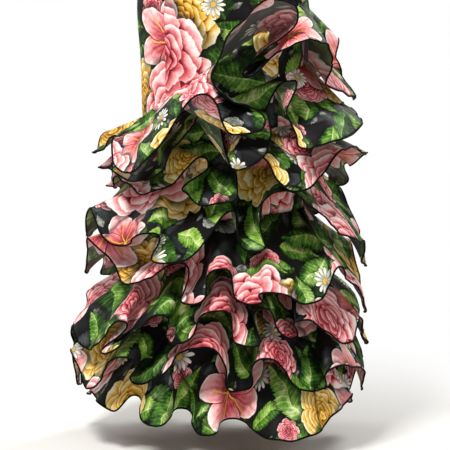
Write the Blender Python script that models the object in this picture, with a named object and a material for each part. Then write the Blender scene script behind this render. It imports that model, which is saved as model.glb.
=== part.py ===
"""A ruffled flamenco dress, hollow as it is worn.

Frame: metres, +Z up. The front of the dress looks along -Y and the wearer's left is at +X. The
origin is where the wearer's shoulders carry the dress, and the hem is 1.445 m below it.

The dress is cut as a long princess sheath in seven panels. Eight circular flounces are sewn
round it one above the other from the hip to the hem, each in a front and a back half. A
flounce is worked out from the line it is sewn on and from its free edge: the edge is a closed
curve through the crests and hollows of the folds, and bowed lines join it to the seam.
"""

import math

import bpy
import numpy as np

# ---- driving sizes, m --------------------------------------------------------------------
CLOTH = 0.0010  # wall of every cloth piece
SHARP = 60  # degrees past which a bend of the wall is shaded as an edge
SEAM_GAP = 0.0003  # between neighbouring pieces
UNDERARM = -0.200  # above this height the sheath closes over the shoulder
SHOULDER_SLOPE = 0.28  # fall of the shoulder for its distance from the neck
STRAP_INNER = 0.070  # half width of the neck opening
STRAP_OUTER = 0.108  # half width across the shoulders
NECK_FRONT = -0.120
NECK_BACK = -0.085
ARMHOLE = -0.194
BUST_OUT = 0.015  # how far the cups stand out of the sheath
BUST_ACROSS = 0.082
BUST_UP = -0.265
BUST_WIDE = 0.052
BUST_TALL = 0.058

# The sheath's outside at each height.
SHEATH = [
    # up, half width, front, back
    (-1.430, 0.180, 0.150, 0.152),
    (-1.180, 0.168, 0.138, 0.142),
    (-0.930, 0.158, 0.126, 0.132),
    (-0.750, 0.160, 0.122, 0.130),
    (-0.620, 0.166, 0.121, 0.131),
    (-0.520, 0.150, 0.108, 0.113),
    (-0.420, 0.126, 0.089, 0.087),
    (-0.340, 0.137, 0.100, 0.092),
    (-0.260, 0.150, 0.112, 0.098),
    (-0.200, 0.156, 0.106, 0.099),
    (0.000, 0.150, 0.090, 0.090),
]
SHEATH_ROWS = [
    *(-1.335, -0.950, -0.750, -0.660, -0.580),
    *(-0.500, -0.420, -0.350, -0.300, -0.250, -0.200),
]
YOKE_ROWS = 7  # rows from the underarm to the top of the shoulder
SLOPE_STEP = 1e-4  # the step that measures the sheath's slopes
SEAM_RADIUS = 0.09  # how far the sheath's seams are from the axis, at the least
HALF_GAP_TURN = SEAM_GAP / 2 / SEAM_RADIUS  # half a seam gap as an angle
# The wall's columns across each kind of panel, as shares of its width, close where an edge
# of the neck or the armhole is steep.
CENTRE_COLUMNS = [
    *(0, 0.136, 0.140, 0.149, 0.174, 0.22, 0.31, 0.5),
    *(0.69, 0.78, 0.826, 0.851, 0.860, 0.864, 1),
]
SIDE_COLUMNS = [0, 0.128, 0.145, 0.175, 0.22, 0.29, 0.39, 0.56, 1]
BACK_COLUMNS = [0, 0.35, 0.53, 0.64, 0.707, 0.729, 1]
# Where the princess seams run, as a share of the sheath's half width at each height.
FRONT_PRINCESS = [
    *((-1.43, 0.66), (-0.62, 0.66), (-0.42, 0.60)),
    *((-0.26, 0.57), (-0.20, 0.60), (0.00, 0.66)),
]
BACK_PRINCESS = [(-1.43, 0.62), (-0.62, 0.62), (-0.42, 0.56), (-0.26, 0.6), (0.0, 0.66)]

# ---- the flounces ------------------------------------------------------------------------
HEM = -1.450  # no flounce reaches lower than this
SOFT = 0.008  # how softly a flounce is kept off the hem's level and the seam above
SEAM_OUT = 0.0024  # the flounce's sewn edge, out from the sheath
BOW = 0.03  # how far a flounce bows up and out between seam and edge, for its depth
BOW_OUT = 0.8  # how much of that is outward, for each part of it upward
LATE_SWING = 0.3  # share of a fold's sideways swing that comes before the bow, 0.5 if even
AIR = 0.0060  # least room between one flounce and the next
SEWN_SHARE = 0.12  # share of a flounce's depth in which it leaves the body for that room
HEADROOM = 0.014  # a flounce stays this far under the seam of the one above
EASE_UP = 1.6  # how steeply a flounce climbs over the one below
ACROSS_ROWS = [0.0, 0.25, 0.6, 1.0]  # rows of the wall from seam to free edge
EDGE_STEPS = 48  # steps that measure the free edge between two rows of its table
BEND = 0.02  # how much of the edge's length one radian of bend counts for

# A map of the outermost radius of all flounces made so far, by angle and height.
MAP_TURNS = 180  # its cells round the body
MAP_LEVELS = 190  # its cells up the body
MAP_LOW = -1.47  # the height of the lowest
MAP_RISE = 0.005  # from one to the next
MAP_STEPS = 16  # a flounce's columns from crest to hollow where the map reads it
MAP_ROWS = 41

# How uneven the back folds are: shares of a fold's width, reach and drop, sizes in m, degrees.
BACK_SHIFT = (-0.22, 0.22)
CREST_REACH = (0.82, 1.15)
CREST_DROP = (0.75, 1.2)
HOLLOW_OUT = (0.028, 0.0455)
HOLLOW_DROP = (0.1215, 0.14175)
BACK_HEADING = (-12, 12)
BACK_HOLD = (0.16, 0.24)
FIRST_SEED = 40

# The height of each flounce's seam at the wearer's right side and left side, the number of its
# back folds, how far they stand out and hang, the wall's columns from crest to hollow, and the
# radius past which the flounce is hardly moved to clear the one below.
SEAMS = [
    # right, left, back folds, reach, drop, columns, outermost
    (-0.856, -0.620, 5, 0.088, 0.058, 6, 0.36),
    (-0.885, -0.750, 5, 0.095, 0.080, 5, 0.33),
    (-0.915, -0.860, 6, 0.095, 0.080, 5, 0.30),
    (-0.980, -0.930, 5, 0.130, 0.085, 4, 0.30),
    (-1.060, -1.030, 6, 0.130, 0.085, 4, 0.30),
    (-1.140, -1.115, 5, 0.130, 0.090, 4, 0.30),
    (-1.215, -1.195, 6, 0.125, 0.085, 4, 0.30),
    (-1.285, -1.270, 6, 0.120, 0.095, 4, 0.30),
]

# The front folds, from the wearer's right side to the left. Each row is a crest, a hollow or
# the side of a fold on the free edge: where it is, which way the edge heads there (degrees
# above level, past 90 where it turns back on itself) and how far it holds that heading.
FOLDS = [
    [  # flounce 1: across, forward, up, heading, hold
        (-0.188, -0.050, -0.930, 0, 0.11),
        (-0.195, 0.040, -0.888, 0, 0.12),
        (-0.135, 0.140, -0.950, 0, 0.20),
        (-0.035, 0.280, -0.800, 11, 0.12),
        (0.020, 0.200, -0.875, 11, 0.08),
        (0.060, 0.200, -0.840, 106, 0.07),
        (-0.015, 0.270, -0.765, 85, 0.15),
        (0.095, 0.250, -0.630, 0, 0.12),
        (0.140, 0.210, -0.665, -101, 0.08),
        (0.040, 0.205, -0.770, -45, 0.07),
        (0.145, 0.230, -0.705, 6, 0.16),
        (0.210, 0.130, -0.735, -85, 0.07),
        (0.165, 0.100, -0.785, -140, 0.05),
        (0.185, -0.030, -0.820, 0, 0.10),
    ],
    [  # flounce 2: across, forward, up, heading, hold
        (-0.178, -0.050, -0.960, 0, 0.10),
        (-0.188, 0.030, -0.945, 0, 0.10),
        (-0.125, 0.130, -0.970, 0, 0.20),
        (-0.025, 0.230, -0.830, -5, 0.11),
        (0.020, 0.165, -0.940, 15, 0.07),
        (0.080, 0.150, -0.840, 60, 0.10),
        (0.130, 0.200, -0.775, 0, 0.10),
        (0.120, 0.225, -0.855, -80, 0.12),
        (0.150, 0.220, -0.900, 5, 0.13),
        (0.240, 0.120, -0.865, 15, 0.09),
        (0.240, -0.050, -0.830, 0, 0.12),
    ],
    [  # flounce 3: across, forward, up, heading, hold
        (-0.178, -0.050, -1.000, 0, 0.10),
        (-0.178, 0.035, -0.970, 0, 0.09),
        (-0.125, 0.130, -0.995, 0, 0.13),
        (-0.040, 0.205, -0.920, 0, 0.05),
        (-0.025, 0.200, -0.940, -90, 0.03),
        (-0.065, 0.170, -0.985, -30, 0.06),
        (-0.020, 0.155, -1.010, 20, 0.07),
        (0.025, 0.190, -0.985, 85, 0.08),
        (0.060, 0.250, -0.915, 0, 0.11),
        (0.105, 0.200, -0.980, 0, 0.11),
        (0.220, 0.170, -0.915, 35, 0.13),
        (0.285, -0.020, -0.930, 0, 0.13),
    ],
    [  # flounce 4: across, forward, up, heading, hold
        (-0.230, -0.060, -1.100, 0, 0.14),
        (-0.245, 0.040, -1.030, 0, 0.16),
        (-0.190, 0.120, -1.095, -10, 0.10),
        (-0.120, 0.220, -1.060, 0, 0.12),
        (-0.065, 0.150, -1.115, 5, 0.16),
        (0.010, 0.200, -1.025, 30, 0.14),
        (0.040, 0.150, -1.095, 0, 0.12),
        (0.075, 0.220, -1.015, 60, 0.10),
        (0.115, 0.250, -0.980, 0, 0.10),
        (0.210, 0.170, -1.060, -35, 0.13),
        (0.265, 0.050, -1.095, 0, 0.12),
        (0.250, -0.060, -1.160, 0, 0.14),
    ],
    [  # flounce 5: across, forward, up, heading, hold
        (-0.255, -0.070, -1.175, 0, 0.14),
        (-0.265, 0.040, -1.090, 0, 0.17),
        (-0.135, 0.120, -1.165, 5, 0.18),
        (-0.080, 0.240, -1.115, -5, 0.14),
        (-0.040, 0.180, -1.190, 10, 0.13),
        (-0.005, 0.240, -1.125, 10, 0.14),
        (0.030, 0.165, -1.185, 0, 0.11),
        (0.080, 0.255, -1.165, 0, 0.12),
        (0.150, 0.210, -1.190, 5, 0.12),
        (0.210, 0.190, -1.135, 40, 0.12),
        (0.235, 0.040, -1.195, 0, 0.10),
        (0.230, -0.060, -1.255, 0, 0.12),
    ],
    [  # flounce 6: across, forward, up, heading, hold
        (-0.275, -0.060, -1.340, 0, 0.14),
        (-0.290, 0.040, -1.265, 0, 0.16),
        (-0.225, 0.100, -1.300, 0, 0.14),
        (-0.185, 0.230, -1.225, 0, 0.12),
        (-0.160, 0.130, -1.295, 0, 0.11),
        (-0.115, 0.250, -1.210, 0, 0.14),
        (-0.065, 0.160, -1.265, 0, 0.16),
        (-0.010, 0.260, -1.200, 5, 0.17),
        (0.030, 0.160, -1.270, 0, 0.12),
        (0.075, 0.270, -1.195, 0, 0.11),
        (0.105, 0.160, -1.260, 0, 0.12),
        (0.150, 0.250, -1.220, 0, 0.15),
        (0.205, 0.130, -1.280, 0, 0.13),
        (0.255, 0.050, -1.245, 0, 0.13),
        (0.245, -0.060, -1.320, 0, 0.13),
    ],
    [  # flounce 7: across, forward, up, heading, hold
        (-0.280, -0.070, -1.405, 0, 0.14),
        (-0.300, 0.030, -1.315, 0, 0.16),
        (-0.235, 0.090, -1.380, 0, 0.15),
        (-0.180, 0.220, -1.295, 0, 0.18),
        (-0.125, 0.140, -1.355, 5, 0.18),
        (-0.035, 0.260, -1.270, 0, 0.22),
        (0.025, 0.165, -1.365, 0, 0.14),
        (0.080, 0.260, -1.290, 0, 0.14),
        (0.140, 0.150, -1.365, 0, 0.18),
        (0.205, 0.200, -1.320, 10, 0.14),
        (0.255, 0.050, -1.345, 0, 0.12),
        (0.245, -0.060, -1.415, 0, 0.13),
    ],
    [  # flounce 8: across, forward, up, heading, hold
        (-0.270, -0.080, -1.425, 0, 0.13),
        (-0.255, 0.030, -1.405, 0, 0.14),
        (-0.215, 0.125, -1.418, 0, 0.13),
        (-0.165, 0.125, -1.388, 0, 0.12),
        (-0.130, 0.235, -1.424, 0, 0.15),
        (-0.075, 0.150, -1.408, 0, 0.12),
        (-0.030, 0.240, -1.444, 0, 0.12),
        (0.020, 0.165, -1.425, 0, 0.13),
        (0.130, 0.265, -1.450, 0, 0.25),
        (0.215, 0.150, -1.420, 8, 0.14),
        (0.255, 0.050, -1.402, 0, 0.13),
        (0.255, -0.070, -1.445, 0, 0.12),
    ],
]


def smooth_table(rows, column, at):
    """A column of a table at any heights, as one smooth curve through its rows."""
    table = np.array(sorted(rows), float)
    x, y = table[:, 0], table[:, column]
    slope = np.gradient(y, x)
    at = np.clip(np.asarray(at, float), x[0], x[-1])
    i = np.clip(np.searchsorted(x, at, side="right") - 1, 0, len(x) - 2)
    span = x[i + 1] - x[i]
    t = (at - x[i]) / span
    start = (2 * t**3 - 3 * t**2 + 1) * y[i] + (t**3 - 2 * t**2 + t) * span * slope[i]
    end = (3 * t**2 - 2 * t**3) * y[i + 1] + (t**3 - t**2) * span * slope[i + 1]
    return start + end


def sheath(angle, up):
    """The sheath's outside (x, y) at an angle from the front centre and a height."""
    across = smooth_table(SHEATH, 1, up) * np.sin(angle)
    front, back = smooth_table(SHEATH, 2, up), smooth_table(SHEATH, 3, up)
    depth = -np.where(np.cos(angle) > 0, front, back) * np.cos(angle)
    beside_cup = (np.abs(across) - BUST_ACROSS) / BUST_WIDE
    above_cup = (up - BUST_UP) / BUST_TALL
    cup = BUST_OUT * np.exp(-(beside_cup**2) - above_cup**2)
    return across, depth - cup * np.clip(np.cos(angle), 0, 1)


# ---- meshes ------------------------------------------------------------------------------
def grid_normals(points):
    """Unit normals of a grid whose rows run down and whose columns run to the wearer's left."""
    one_way = points[1:, 1:] - points[:-1, :-1]
    other_way = points[:-1, 1:] - points[1:, :-1]
    facing = np.cross(one_way, other_way)
    facing /= np.linalg.norm(facing, axis=2, keepdims=True)
    around = np.pad(facing, ((1, 1), (1, 1), (0, 0)), mode="edge")
    normal = around[1:, 1:] + around[1:, :-1] + around[:-1, 1:] + around[:-1, :-1]
    return normal / np.linalg.norm(normal, axis=2, keepdims=True)


def wall_faces(rows, columns):
    """Quads of a wall: its outer grid of points comes first and its inner grid second."""
    outer = np.arange(rows * columns).reshape(rows, columns)
    inner = outer + rows * columns
    corners = (slice(None, -1), slice(1, None))

    def quads(grid, turned):
        a, b = grid[corners[0], corners[0]], grid[corners[1], corners[0]]
        c, d = grid[corners[1], corners[1]], grid[corners[0], corners[1]]
        four = (a, d, c, b) if turned else (a, b, c, d)
        return np.stack([corner.ravel() for corner in four], 1)

    def rim(near, far):
        return np.stack([near[:-1], near[1:], far[1:], far[:-1]], 1)

    return np.concatenate(
        [
            quads(outer, False),
            quads(inner, True),
            rim(inner[:, 0], outer[:, 0]),
            rim(outer[:, -1], inner[:, -1]),
            rim(outer[0], inner[0]),
            rim(inner[-1], outer[-1]),
        ]
    )


def cloth_piece(name, outer, normals, material):
    """A wall of cloth behind a grid of points on its outside."""
    inner = outer - normals * CLOTH
    points = np.concatenate([outer.reshape(-1, 3), inner.reshape(-1, 3)])
    mesh = bpy.data.meshes.new(name)
    mesh.from_pydata(points.tolist(), [], wall_faces(*outer.shape[:2]).tolist())
    mesh.shade_smooth()
    mesh.set_sharp_from_angle(angle=math.radians(SHARP))
    mesh.materials.append(material)
    piece = bpy.data.objects.new(name, mesh)
    bpy.context.scene.collection.objects.link(piece)
    return piece


def finish(name, colour, roughness):
    """A plain material for the printed cloth, in its average colour."""
    material = bpy.data.materials.new(name)
    material.use_nodes = True
    shader = material.node_tree.nodes["Principled BSDF"]
    shader.inputs["Base Color"].default_value = (*colour, 1)
    shader.inputs["Roughness"].default_value = roughness
    shader.inputs["Metallic"].default_value = 0.0
    return material


# ---- the sheath's panels -----------------------------------------------------------------
def column_top(across, neck):
    """How high a column of cloth reaches: the neckline, the shoulder seam or the armhole."""
    across = abs(across)
    if across < STRAP_INNER:
        return neck * (1 - (across / STRAP_INNER) ** 2)
    if across <= STRAP_OUTER:
        return -SHOULDER_SLOPE * (across - STRAP_INNER)
    edge = -SHOULDER_SLOPE * (STRAP_OUTER - STRAP_INNER)
    half_chest = float(smooth_table(SHEATH, 1, UNDERARM))
    share = (half_chest - across) / (half_chest - STRAP_OUTER)
    return ARMHOLE + (edge - ARMHOLE) * share**1.5


def body_point(angle, rise):
    """A point of the sheath's outside.

    The rise is its height up to the underarm. What it is more than that is a turn over the
    shoulder, in radians, round a quarter of an ellipse.
    """
    up = np.minimum(rise, UNDERARM)
    turn = np.maximum(rise - UNDERARM, 0)
    across, depth = sheath(angle, up)
    shoulder = -SHOULDER_SLOPE * np.maximum(np.abs(across) - STRAP_INNER, 0)
    return np.stack([across, depth * np.cos(turn), up + (shoulder - UNDERARM) * np.sin(turn)], -1)


def body_normal(angle, rise):
    """The direction out of the sheath, from its slopes both ways."""
    down = body_point(angle, rise - SLOPE_STEP) - body_point(angle, rise + SLOPE_STEP)
    along = body_point(angle + SLOPE_STEP, rise) - body_point(angle - SLOPE_STEP, rise)
    normal = np.cross(down, along)
    return normal / np.linalg.norm(normal, axis=-1, keepdims=True)


def yoke_rises(angle, neck):
    """A column's rows above the underarm, up to its top edge or the shoulder seam."""
    across, depth = (float(v) for v in sheath(angle, UNDERARM))
    shoulder = -SHOULDER_SLOPE * max(0.0, abs(across) - STRAP_INNER)
    top = column_top(across, neck)
    last = math.asin(min(1.0, (top - UNDERARM) / (shoulder - UNDERARM)))
    seam = math.acos(SEAM_GAP / 2 / max(abs(depth), SEAM_GAP))
    return UNDERARM + np.linspace(0, min(last, seam), YOKE_ROWS + 1)[1:]


def panel(name, first, last, shares, neck, material):
    """One panel of the sheath between two seams, each a function of height."""
    heights = np.array(SHEATH_ROWS)
    columns = []
    for share in shares:
        angle = first(heights) * (1 - share) + last(heights) * share
        rises = np.concatenate([heights, yoke_rises(angle[-1], neck)])
        angles = np.concatenate([angle, np.full(YOKE_ROWS, angle[-1])])
        columns.append((angles[::-1], rises[::-1]))
    angles, rises = np.array(columns).transpose(1, 2, 0)
    outer, normals = body_point(angles, rises), body_normal(angles, rises)
    return cloth_piece(name, outer, normals, material)


def princess(share_table, turned, nudge):
    """A princess seam's angle at any height, moved half a seam gap to one side.

    The seam of the front left panels is turned by its own angle. The other three are its
    mirror images.
    """
    return lambda up: turned(np.arcsin(smooth_table(share_table, 1, up))) + nudge * HALF_GAP_TURN


def straight(angle, nudge):
    """A seam at one angle all the way down, moved half a seam gap to one side."""
    return lambda up: np.full(np.shape(up), angle + nudge * HALF_GAP_TURN)


def make_panels(material):
    """The seven panels, from the right side seam round the front and back to it again."""
    side_turn, back_turn = math.pi / 2, math.pi
    front_right = {n: princess(FRONT_PRINCESS, lambda a: -a, n) for n in (-1, 1)}
    front_left = {n: princess(FRONT_PRINCESS, lambda a: a, n) for n in (-1, 1)}
    back_left = {n: princess(BACK_PRINCESS, lambda a: math.pi - a, n) for n in (-1, 1)}
    back_right = {n: princess(BACK_PRINCESS, lambda a: a - math.pi, n) for n in (-1, 1)}
    side_mirrored = [1 - share for share in SIDE_COLUMNS[::-1]]
    back_mirrored = [1 - share for share in BACK_COLUMNS[::-1]]
    table = [
        # name, first seam, last seam, columns, neck
        ("front_side_right", straight(-side_turn, 1), front_right[-1], side_mirrored, NECK_FRONT),
        ("front_centre", front_right[1], front_left[-1], CENTRE_COLUMNS, NECK_FRONT),
        ("front_side_left", front_left[1], straight(side_turn, -1), SIDE_COLUMNS, NECK_FRONT),
        ("back_side_left", straight(side_turn, 1), back_left[-1], side_mirrored, NECK_BACK),
        ("back_left", back_left[1], straight(back_turn, -1), back_mirrored, NECK_BACK),
        ("back_right", straight(-back_turn, 1), back_right[-1], BACK_COLUMNS, NECK_BACK),
        ("back_side_right", back_right[1], straight(-side_turn, -1), SIDE_COLUMNS, NECK_BACK),
    ]
    for name, first, last, shares, neck in table:
        panel(name, first, last, shares, neck, material)


# ---- the flounces' surfaces --------------------------------------------------------------
def seam_height(number, angle):
    """The height of a flounce's seam, a level ring tilted down towards the right side."""
    right, left = SEAMS[number][:2]
    return (left + right) / 2 + (left - right) / 2 * np.sin(angle)


def back_folds(number):
    """Crests and hollows in turn round the back, uneven but the same each time."""
    folds, reach, drop = SEAMS[number][2:5]
    draw = np.random.default_rng(FIRST_SEED + number).uniform
    last, first = FOLDS[number][0], FOLDS[number][-1]
    left = math.atan2(first[0], first[1])
    right = math.atan2(last[0], last[1]) + 2 * math.pi
    rows = []
    for turn in range(1, 2 * folds):
        angle = left + (right - left) * (turn + draw(*BACK_SHIFT)) / (2 * folds)
        if turn % 2:
            out, down = reach * draw(*CREST_REACH), drop * draw(*CREST_DROP)
        else:
            out, down = draw(*HOLLOW_OUT), draw(*HOLLOW_DROP)
        up = seam_height(number, angle) - down
        x, y = sheath(angle, up)
        across, forward = x + out * math.sin(angle), -y + out * math.cos(angle)
        heading, hold = draw(*BACK_HEADING), draw(*BACK_HOLD)
        rows.append((float(across), float(forward), float(up), heading, hold))
    return rows


def free_edge(number, steps):
    """Points of the closed free edge, and how far along it each one is.

    Between two rows the edge is a cubic that leaves and arrives on their headings. Its points
    are spread evenly by length and by bend, so that a tight turn gets more of them.
    """
    table = np.array(FOLDS[number] + back_folds(number))
    place = table[:, :3] * (1, -1, 1)
    round_body = np.arctan2(place[:, 0], -place[:, 1])
    heading, hold = np.radians(table[:, 3]), table[:, 4:]
    level = np.stack([np.cos(round_body), np.sin(round_body), 0 * round_body], 1)
    leaving = (level * np.cos(heading)[:, None] + np.sin(heading)[:, None] * (0, 0, 1)) * hold
    after, arriving = np.roll(place, -1, 0), np.roll(leaving, -1, 0)

    def cubic(t):
        return (
            (2 * t**3 - 3 * t**2 + 1) * place
            + (t**3 - 2 * t**2 + t) * leaving
            + (3 * t**2 - 2 * t**3) * after
            + (t**3 - t**2) * arriving
        )

    fine = np.linspace(0, 1, EDGE_STEPS + 1)
    moves = np.diff(cubic(fine[:, None, None]), axis=0)
    length = np.linalg.norm(moves, axis=2)
    way = moves / length[..., None]
    turned = np.linalg.norm(np.diff(way, axis=0), axis=2)
    turned = (np.pad(turned, ((1, 0), (0, 0))) + np.pad(turned, ((0, 1), (0, 0)))) / 2
    weight = np.cumsum(np.pad(length + turned * BEND, ((1, 0), (0, 0))), axis=0)
    travelled = np.cumsum(np.pad(length, ((1, 0), (0, 0))), axis=0)
    even = np.arange(steps) / steps
    t = np.stack([np.interp(even * w[-1], w, fine) for w in weight.T], 1)
    reached = np.stack([np.interp(share, fine, far) for share, far in zip(t.T, travelled.T)], 1)
    reached = reached + np.concatenate([[0], np.cumsum(travelled[-1])[:-1]])
    points = cubic(t[..., None])
    return points.transpose(1, 0, 2).reshape(-1, 3), reached.T.ravel(), travelled[-1].sum()


def seam_angles(number, reached, whole, steps):
    """Where each point of the edge hangs from: by cloth length, within the front and the back."""
    middle = (len(FOLDS[number]) - 1) * steps
    half = reached[middle]
    front = -math.pi / 2 + math.pi * reached[:middle] / half
    back = math.pi / 2 + math.pi * (reached[middle:] - half) / (whole - half)
    return np.concatenate([front, back])


def bowed_surface(number, steps, across_rows):
    """The flounce before it is fitted to its neighbours: rows from seam to edge, columns round."""
    edge, reached, whole = free_edge(number, steps)
    angle = seam_angles(number, reached, whole, steps)
    up = seam_height(number, angle)
    x, y = sheath(angle, up)
    outward = np.stack([np.sin(angle), -np.cos(angle), 0 * angle], 1)
    seam = np.stack([x, y, up], 1) + outward * SEAM_OUT
    chord = edge - seam
    length = np.linalg.norm(chord, axis=1, keepdims=True)
    away = outward * BOW_OUT + (0, 0, 1)
    away = away - chord * (away * chord).sum(1, keepdims=True) / length**2
    away = away / np.linalg.norm(away, axis=1, keepdims=True)
    along = np.stack([np.cos(angle), np.sin(angle), 0 * angle], 1)
    swing = along * (along * chord).sum(1, keepdims=True)
    bow = seam + (chord - swing) / 2 + swing * LATE_SWING + away * length * BOW
    v = np.array(across_rows)[:, None, None]
    return (1 - v) ** 2 * seam + 2 * v * (1 - v) * bow + v**2 * edge


def map_place(points):
    """Where points are on the map, in cells."""
    turn = (np.arctan2(points[..., 0], -points[..., 1]) / (2 * math.pi) % 1) * MAP_TURNS
    level = np.clip((points[..., 2] - MAP_LOW) / MAP_RISE, 0, MAP_LEVELS - 1.001)
    return turn, level


def read_map(reach_map, points):
    """The map between its cells, by straight shares of the four nearest."""
    turn, level = map_place(points)
    i, j = turn.astype(int), level.astype(int)
    s, t = turn - i, level - j
    i, after = i % MAP_TURNS, (i + 1) % MAP_TURNS
    low = reach_map[i, j] * (1 - s) + reach_map[after, j] * s
    high = reach_map[i, j + 1] * (1 - s) + reach_map[after, j + 1] * s
    return low * (1 - t) + high * t


def add_to_map(reach_map, surface):
    """The map with a surface added, its cells and the ones beside them raised to its radius."""
    between = (surface + np.roll(surface, -1, 1)) / 2
    points = np.concatenate([surface.reshape(-1, 3), between.reshape(-1, 3)])
    turn, level = map_place(points)
    found = np.zeros_like(reach_map)
    cells = (np.rint(turn).astype(int) % MAP_TURNS, np.rint(level).astype(int))
    np.maximum.at(found, cells, np.hypot(points[:, 0], points[:, 1]))
    for _ in range(2):
        found = np.maximum(found, np.maximum(np.roll(found, 1, 0), np.roll(found, -1, 0)))
        found[:, 1:-1] = np.maximum(found[:, 1:-1], np.maximum(found[:, 2:], found[:, :-2]))
    return np.maximum(reach_map, found)


def ease_map(reach_map):
    """The map with slopes above each flounce, for the next one to climb over it."""
    eased = reach_map.copy()
    for level in range(1, MAP_LEVELS):
        eased[:, level] = np.maximum(eased[:, level], eased[:, level - 1] - MAP_RISE * EASE_UP)
    for _ in range(2):
        eased = (np.roll(eased, 1, 0) + 2 * eased + np.roll(eased, -1, 0)) / 4
    return np.maximum(eased, reach_map)


def fit_surface(number, surface, reach_map, across_rows):
    """The flounce moved up off the hem, down from the seam above and out past the ones below."""
    surface = surface.copy()
    angle = np.arctan2(surface[..., 0], -surface[..., 1])
    if number:
        limit = seam_height(number - 1, angle) - HEADROOM
        surface[..., 2] = limit - SOFT * np.logaddexp(0, (limit - surface[..., 2]) / SOFT)
        first = seam_height(number, angle[0])
        surface[0, :, 2] = np.minimum(surface[0, :, 2], first)
    surface[..., 2] = HEM + SOFT * np.logaddexp(0, (surface[..., 2] - HEM) / SOFT)
    x, y = sheath(angle, surface[..., 2])
    body = np.hypot(x, y) + SEAM_OUT
    radius = np.hypot(surface[..., 0], surface[..., 1])
    weight = np.clip(np.array(across_rows)[:, None] / SEWN_SHARE, 0, 1)
    clear = np.maximum(body, read_map(reach_map, surface) + AIR)
    clear = body + (clear - body) * weight**2 * (3 - 2 * weight)
    outermost = SEAMS[number][6]
    share = (radius - body) / (outermost - body)
    fitted = clear + np.clip(share, 0, None) * (outermost - clear)
    surface[..., :2] *= (fitted / radius)[..., None]
    return surface


def fitted_flounces(across_rows, steps=None):
    """Every flounce from the lowest to the highest, each clear of the ones below it."""
    reach_map = np.zeros((MAP_TURNS, MAP_LEVELS))
    surfaces = {}
    for number in reversed(range(len(FOLDS))):
        eased = ease_map(reach_map)
        wall = bowed_surface(number, steps or SEAMS[number][5], across_rows)
        surfaces[number] = fit_surface(number, wall, eased, across_rows)
        fine_rows = np.linspace(0, 1, MAP_ROWS)
        fine = bowed_surface(number, MAP_STEPS, fine_rows)
        reach_map = add_to_map(reach_map, fit_surface(number, fine, eased, fine_rows))
    return surfaces


def make_flounces(material):
    """Each flounce's front and back half, a seam gap apart at the sides."""
    for number, surface in fitted_flounces(ACROSS_ROWS).items():
        middle = (len(FOLDS[number]) - 1) * SEAMS[number][5]
        closed = np.concatenate([surface[:, -1:], surface, surface[:, :2]], 1)
        normals = grid_normals(closed)[:, 1:-1]
        closed = closed[:, 1:-1]
        halves = {"front": slice(0, middle + 1), "back": slice(middle, None)}
        for side, columns in halves.items():
            half = closed[:, columns].copy()
            for end, inward in ((0, 1), (-1, -2)):
                step = half[:, inward] - half[:, end]
                step /= np.linalg.norm(step, axis=1, keepdims=True)
                half[:, end] += step * SEAM_GAP
            cloth_piece(f"flounce_{number + 1}_{side}", half, normals[:, columns], material)


def main():
    for thing in list(bpy.data.objects):
        bpy.data.objects.remove(thing)
    printed = finish("printed_cotton_sateen", (0.16, 0.13, 0.10), 0.62)
    make_panels(printed)
    make_flounces(printed)


main()
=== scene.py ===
import math

from functools import partial

import bpy
import numpy as np
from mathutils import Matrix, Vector


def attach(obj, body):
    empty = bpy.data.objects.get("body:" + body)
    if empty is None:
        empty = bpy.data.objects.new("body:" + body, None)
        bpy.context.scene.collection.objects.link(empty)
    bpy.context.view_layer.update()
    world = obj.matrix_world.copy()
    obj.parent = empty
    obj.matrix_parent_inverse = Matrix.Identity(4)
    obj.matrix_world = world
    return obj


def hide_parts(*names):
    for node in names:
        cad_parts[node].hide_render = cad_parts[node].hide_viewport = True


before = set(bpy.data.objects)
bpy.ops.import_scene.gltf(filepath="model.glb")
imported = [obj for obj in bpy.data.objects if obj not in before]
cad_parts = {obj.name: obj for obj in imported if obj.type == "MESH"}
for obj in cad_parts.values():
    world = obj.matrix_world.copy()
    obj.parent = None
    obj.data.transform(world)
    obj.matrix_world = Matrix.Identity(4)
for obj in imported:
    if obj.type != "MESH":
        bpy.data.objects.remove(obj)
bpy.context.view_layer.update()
print("frame loaded")

# A fitted sheath of seven panels with eight rows of circular flounces, each a front and a back
# half. The wearer faces -Y, with the left side at +X. Angles start at the middle of the front and
# run to the wearer's left. Lengths are in m, and the grids run down and to the left

cloth = {
    "thickness": 0.0007,  # between the printed face and the reverse
    "seamGap": 0.0003,  # between neighbouring pieces
    "seamDip": 0.0009,  # how far a panel sinks in beside a seam
    "seamDipWidth": 0.0030,
}

# How a crease fades at its ends, and the soft ridge beside it: height as a share of its depth, how
# many of its widths away, and how wide
crease = {"fade": 1.5, "ridge": 0.55, "ridgeAway": 1.7, "ridgeWide": 1.6}

# How much of the baking map's height a side of the cloth takes, and each rim's strip
sheetMap = {"share": 0.47, "strip": 0.010, "gap": 0.004}


# Vectors divided by their own lengths
def unit(vectors):
    return vectors / np.linalg.norm(vectors, axis=-1, keepdims=True)


# The faces of a grid as vectors: the cross product of each square's two diagonals
def facings(points):
    return np.cross(points[1:, 1:] - points[:-1, :-1], points[:-1, 1:] - points[1:, :-1])


# At what angle points stand round the body
def angleOf(points):
    return np.arctan2(points[..., 0], -points[..., 1])


# The level direction in which an angle grows
def tangent(angle):
    return np.stack([np.cos(angle), np.sin(angle), 0 * angle], -1)


# A grid's unit normals: the mean of those of the squares round each point
def gridNormals(points):
    around = np.pad(unit(facings(points)), ((1, 1), (1, 1), (0, 0)), mode="edge")
    return unit(around[1:, 1:] + around[1:, :-1] + around[:-1, 1:] + around[:-1, :-1])


# The squares between neighbouring rows and columns of a grid of point numbers
def gridQuads(index, turned=False):
    a, b, c, d = index[:-1, :-1], index[1:, :-1], index[1:, 1:], index[:-1, 1:]
    corners = (a, d, c, b) if turned else (a, b, c, d)
    return np.stack([corner.ravel() for corner in corners], 1)


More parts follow.
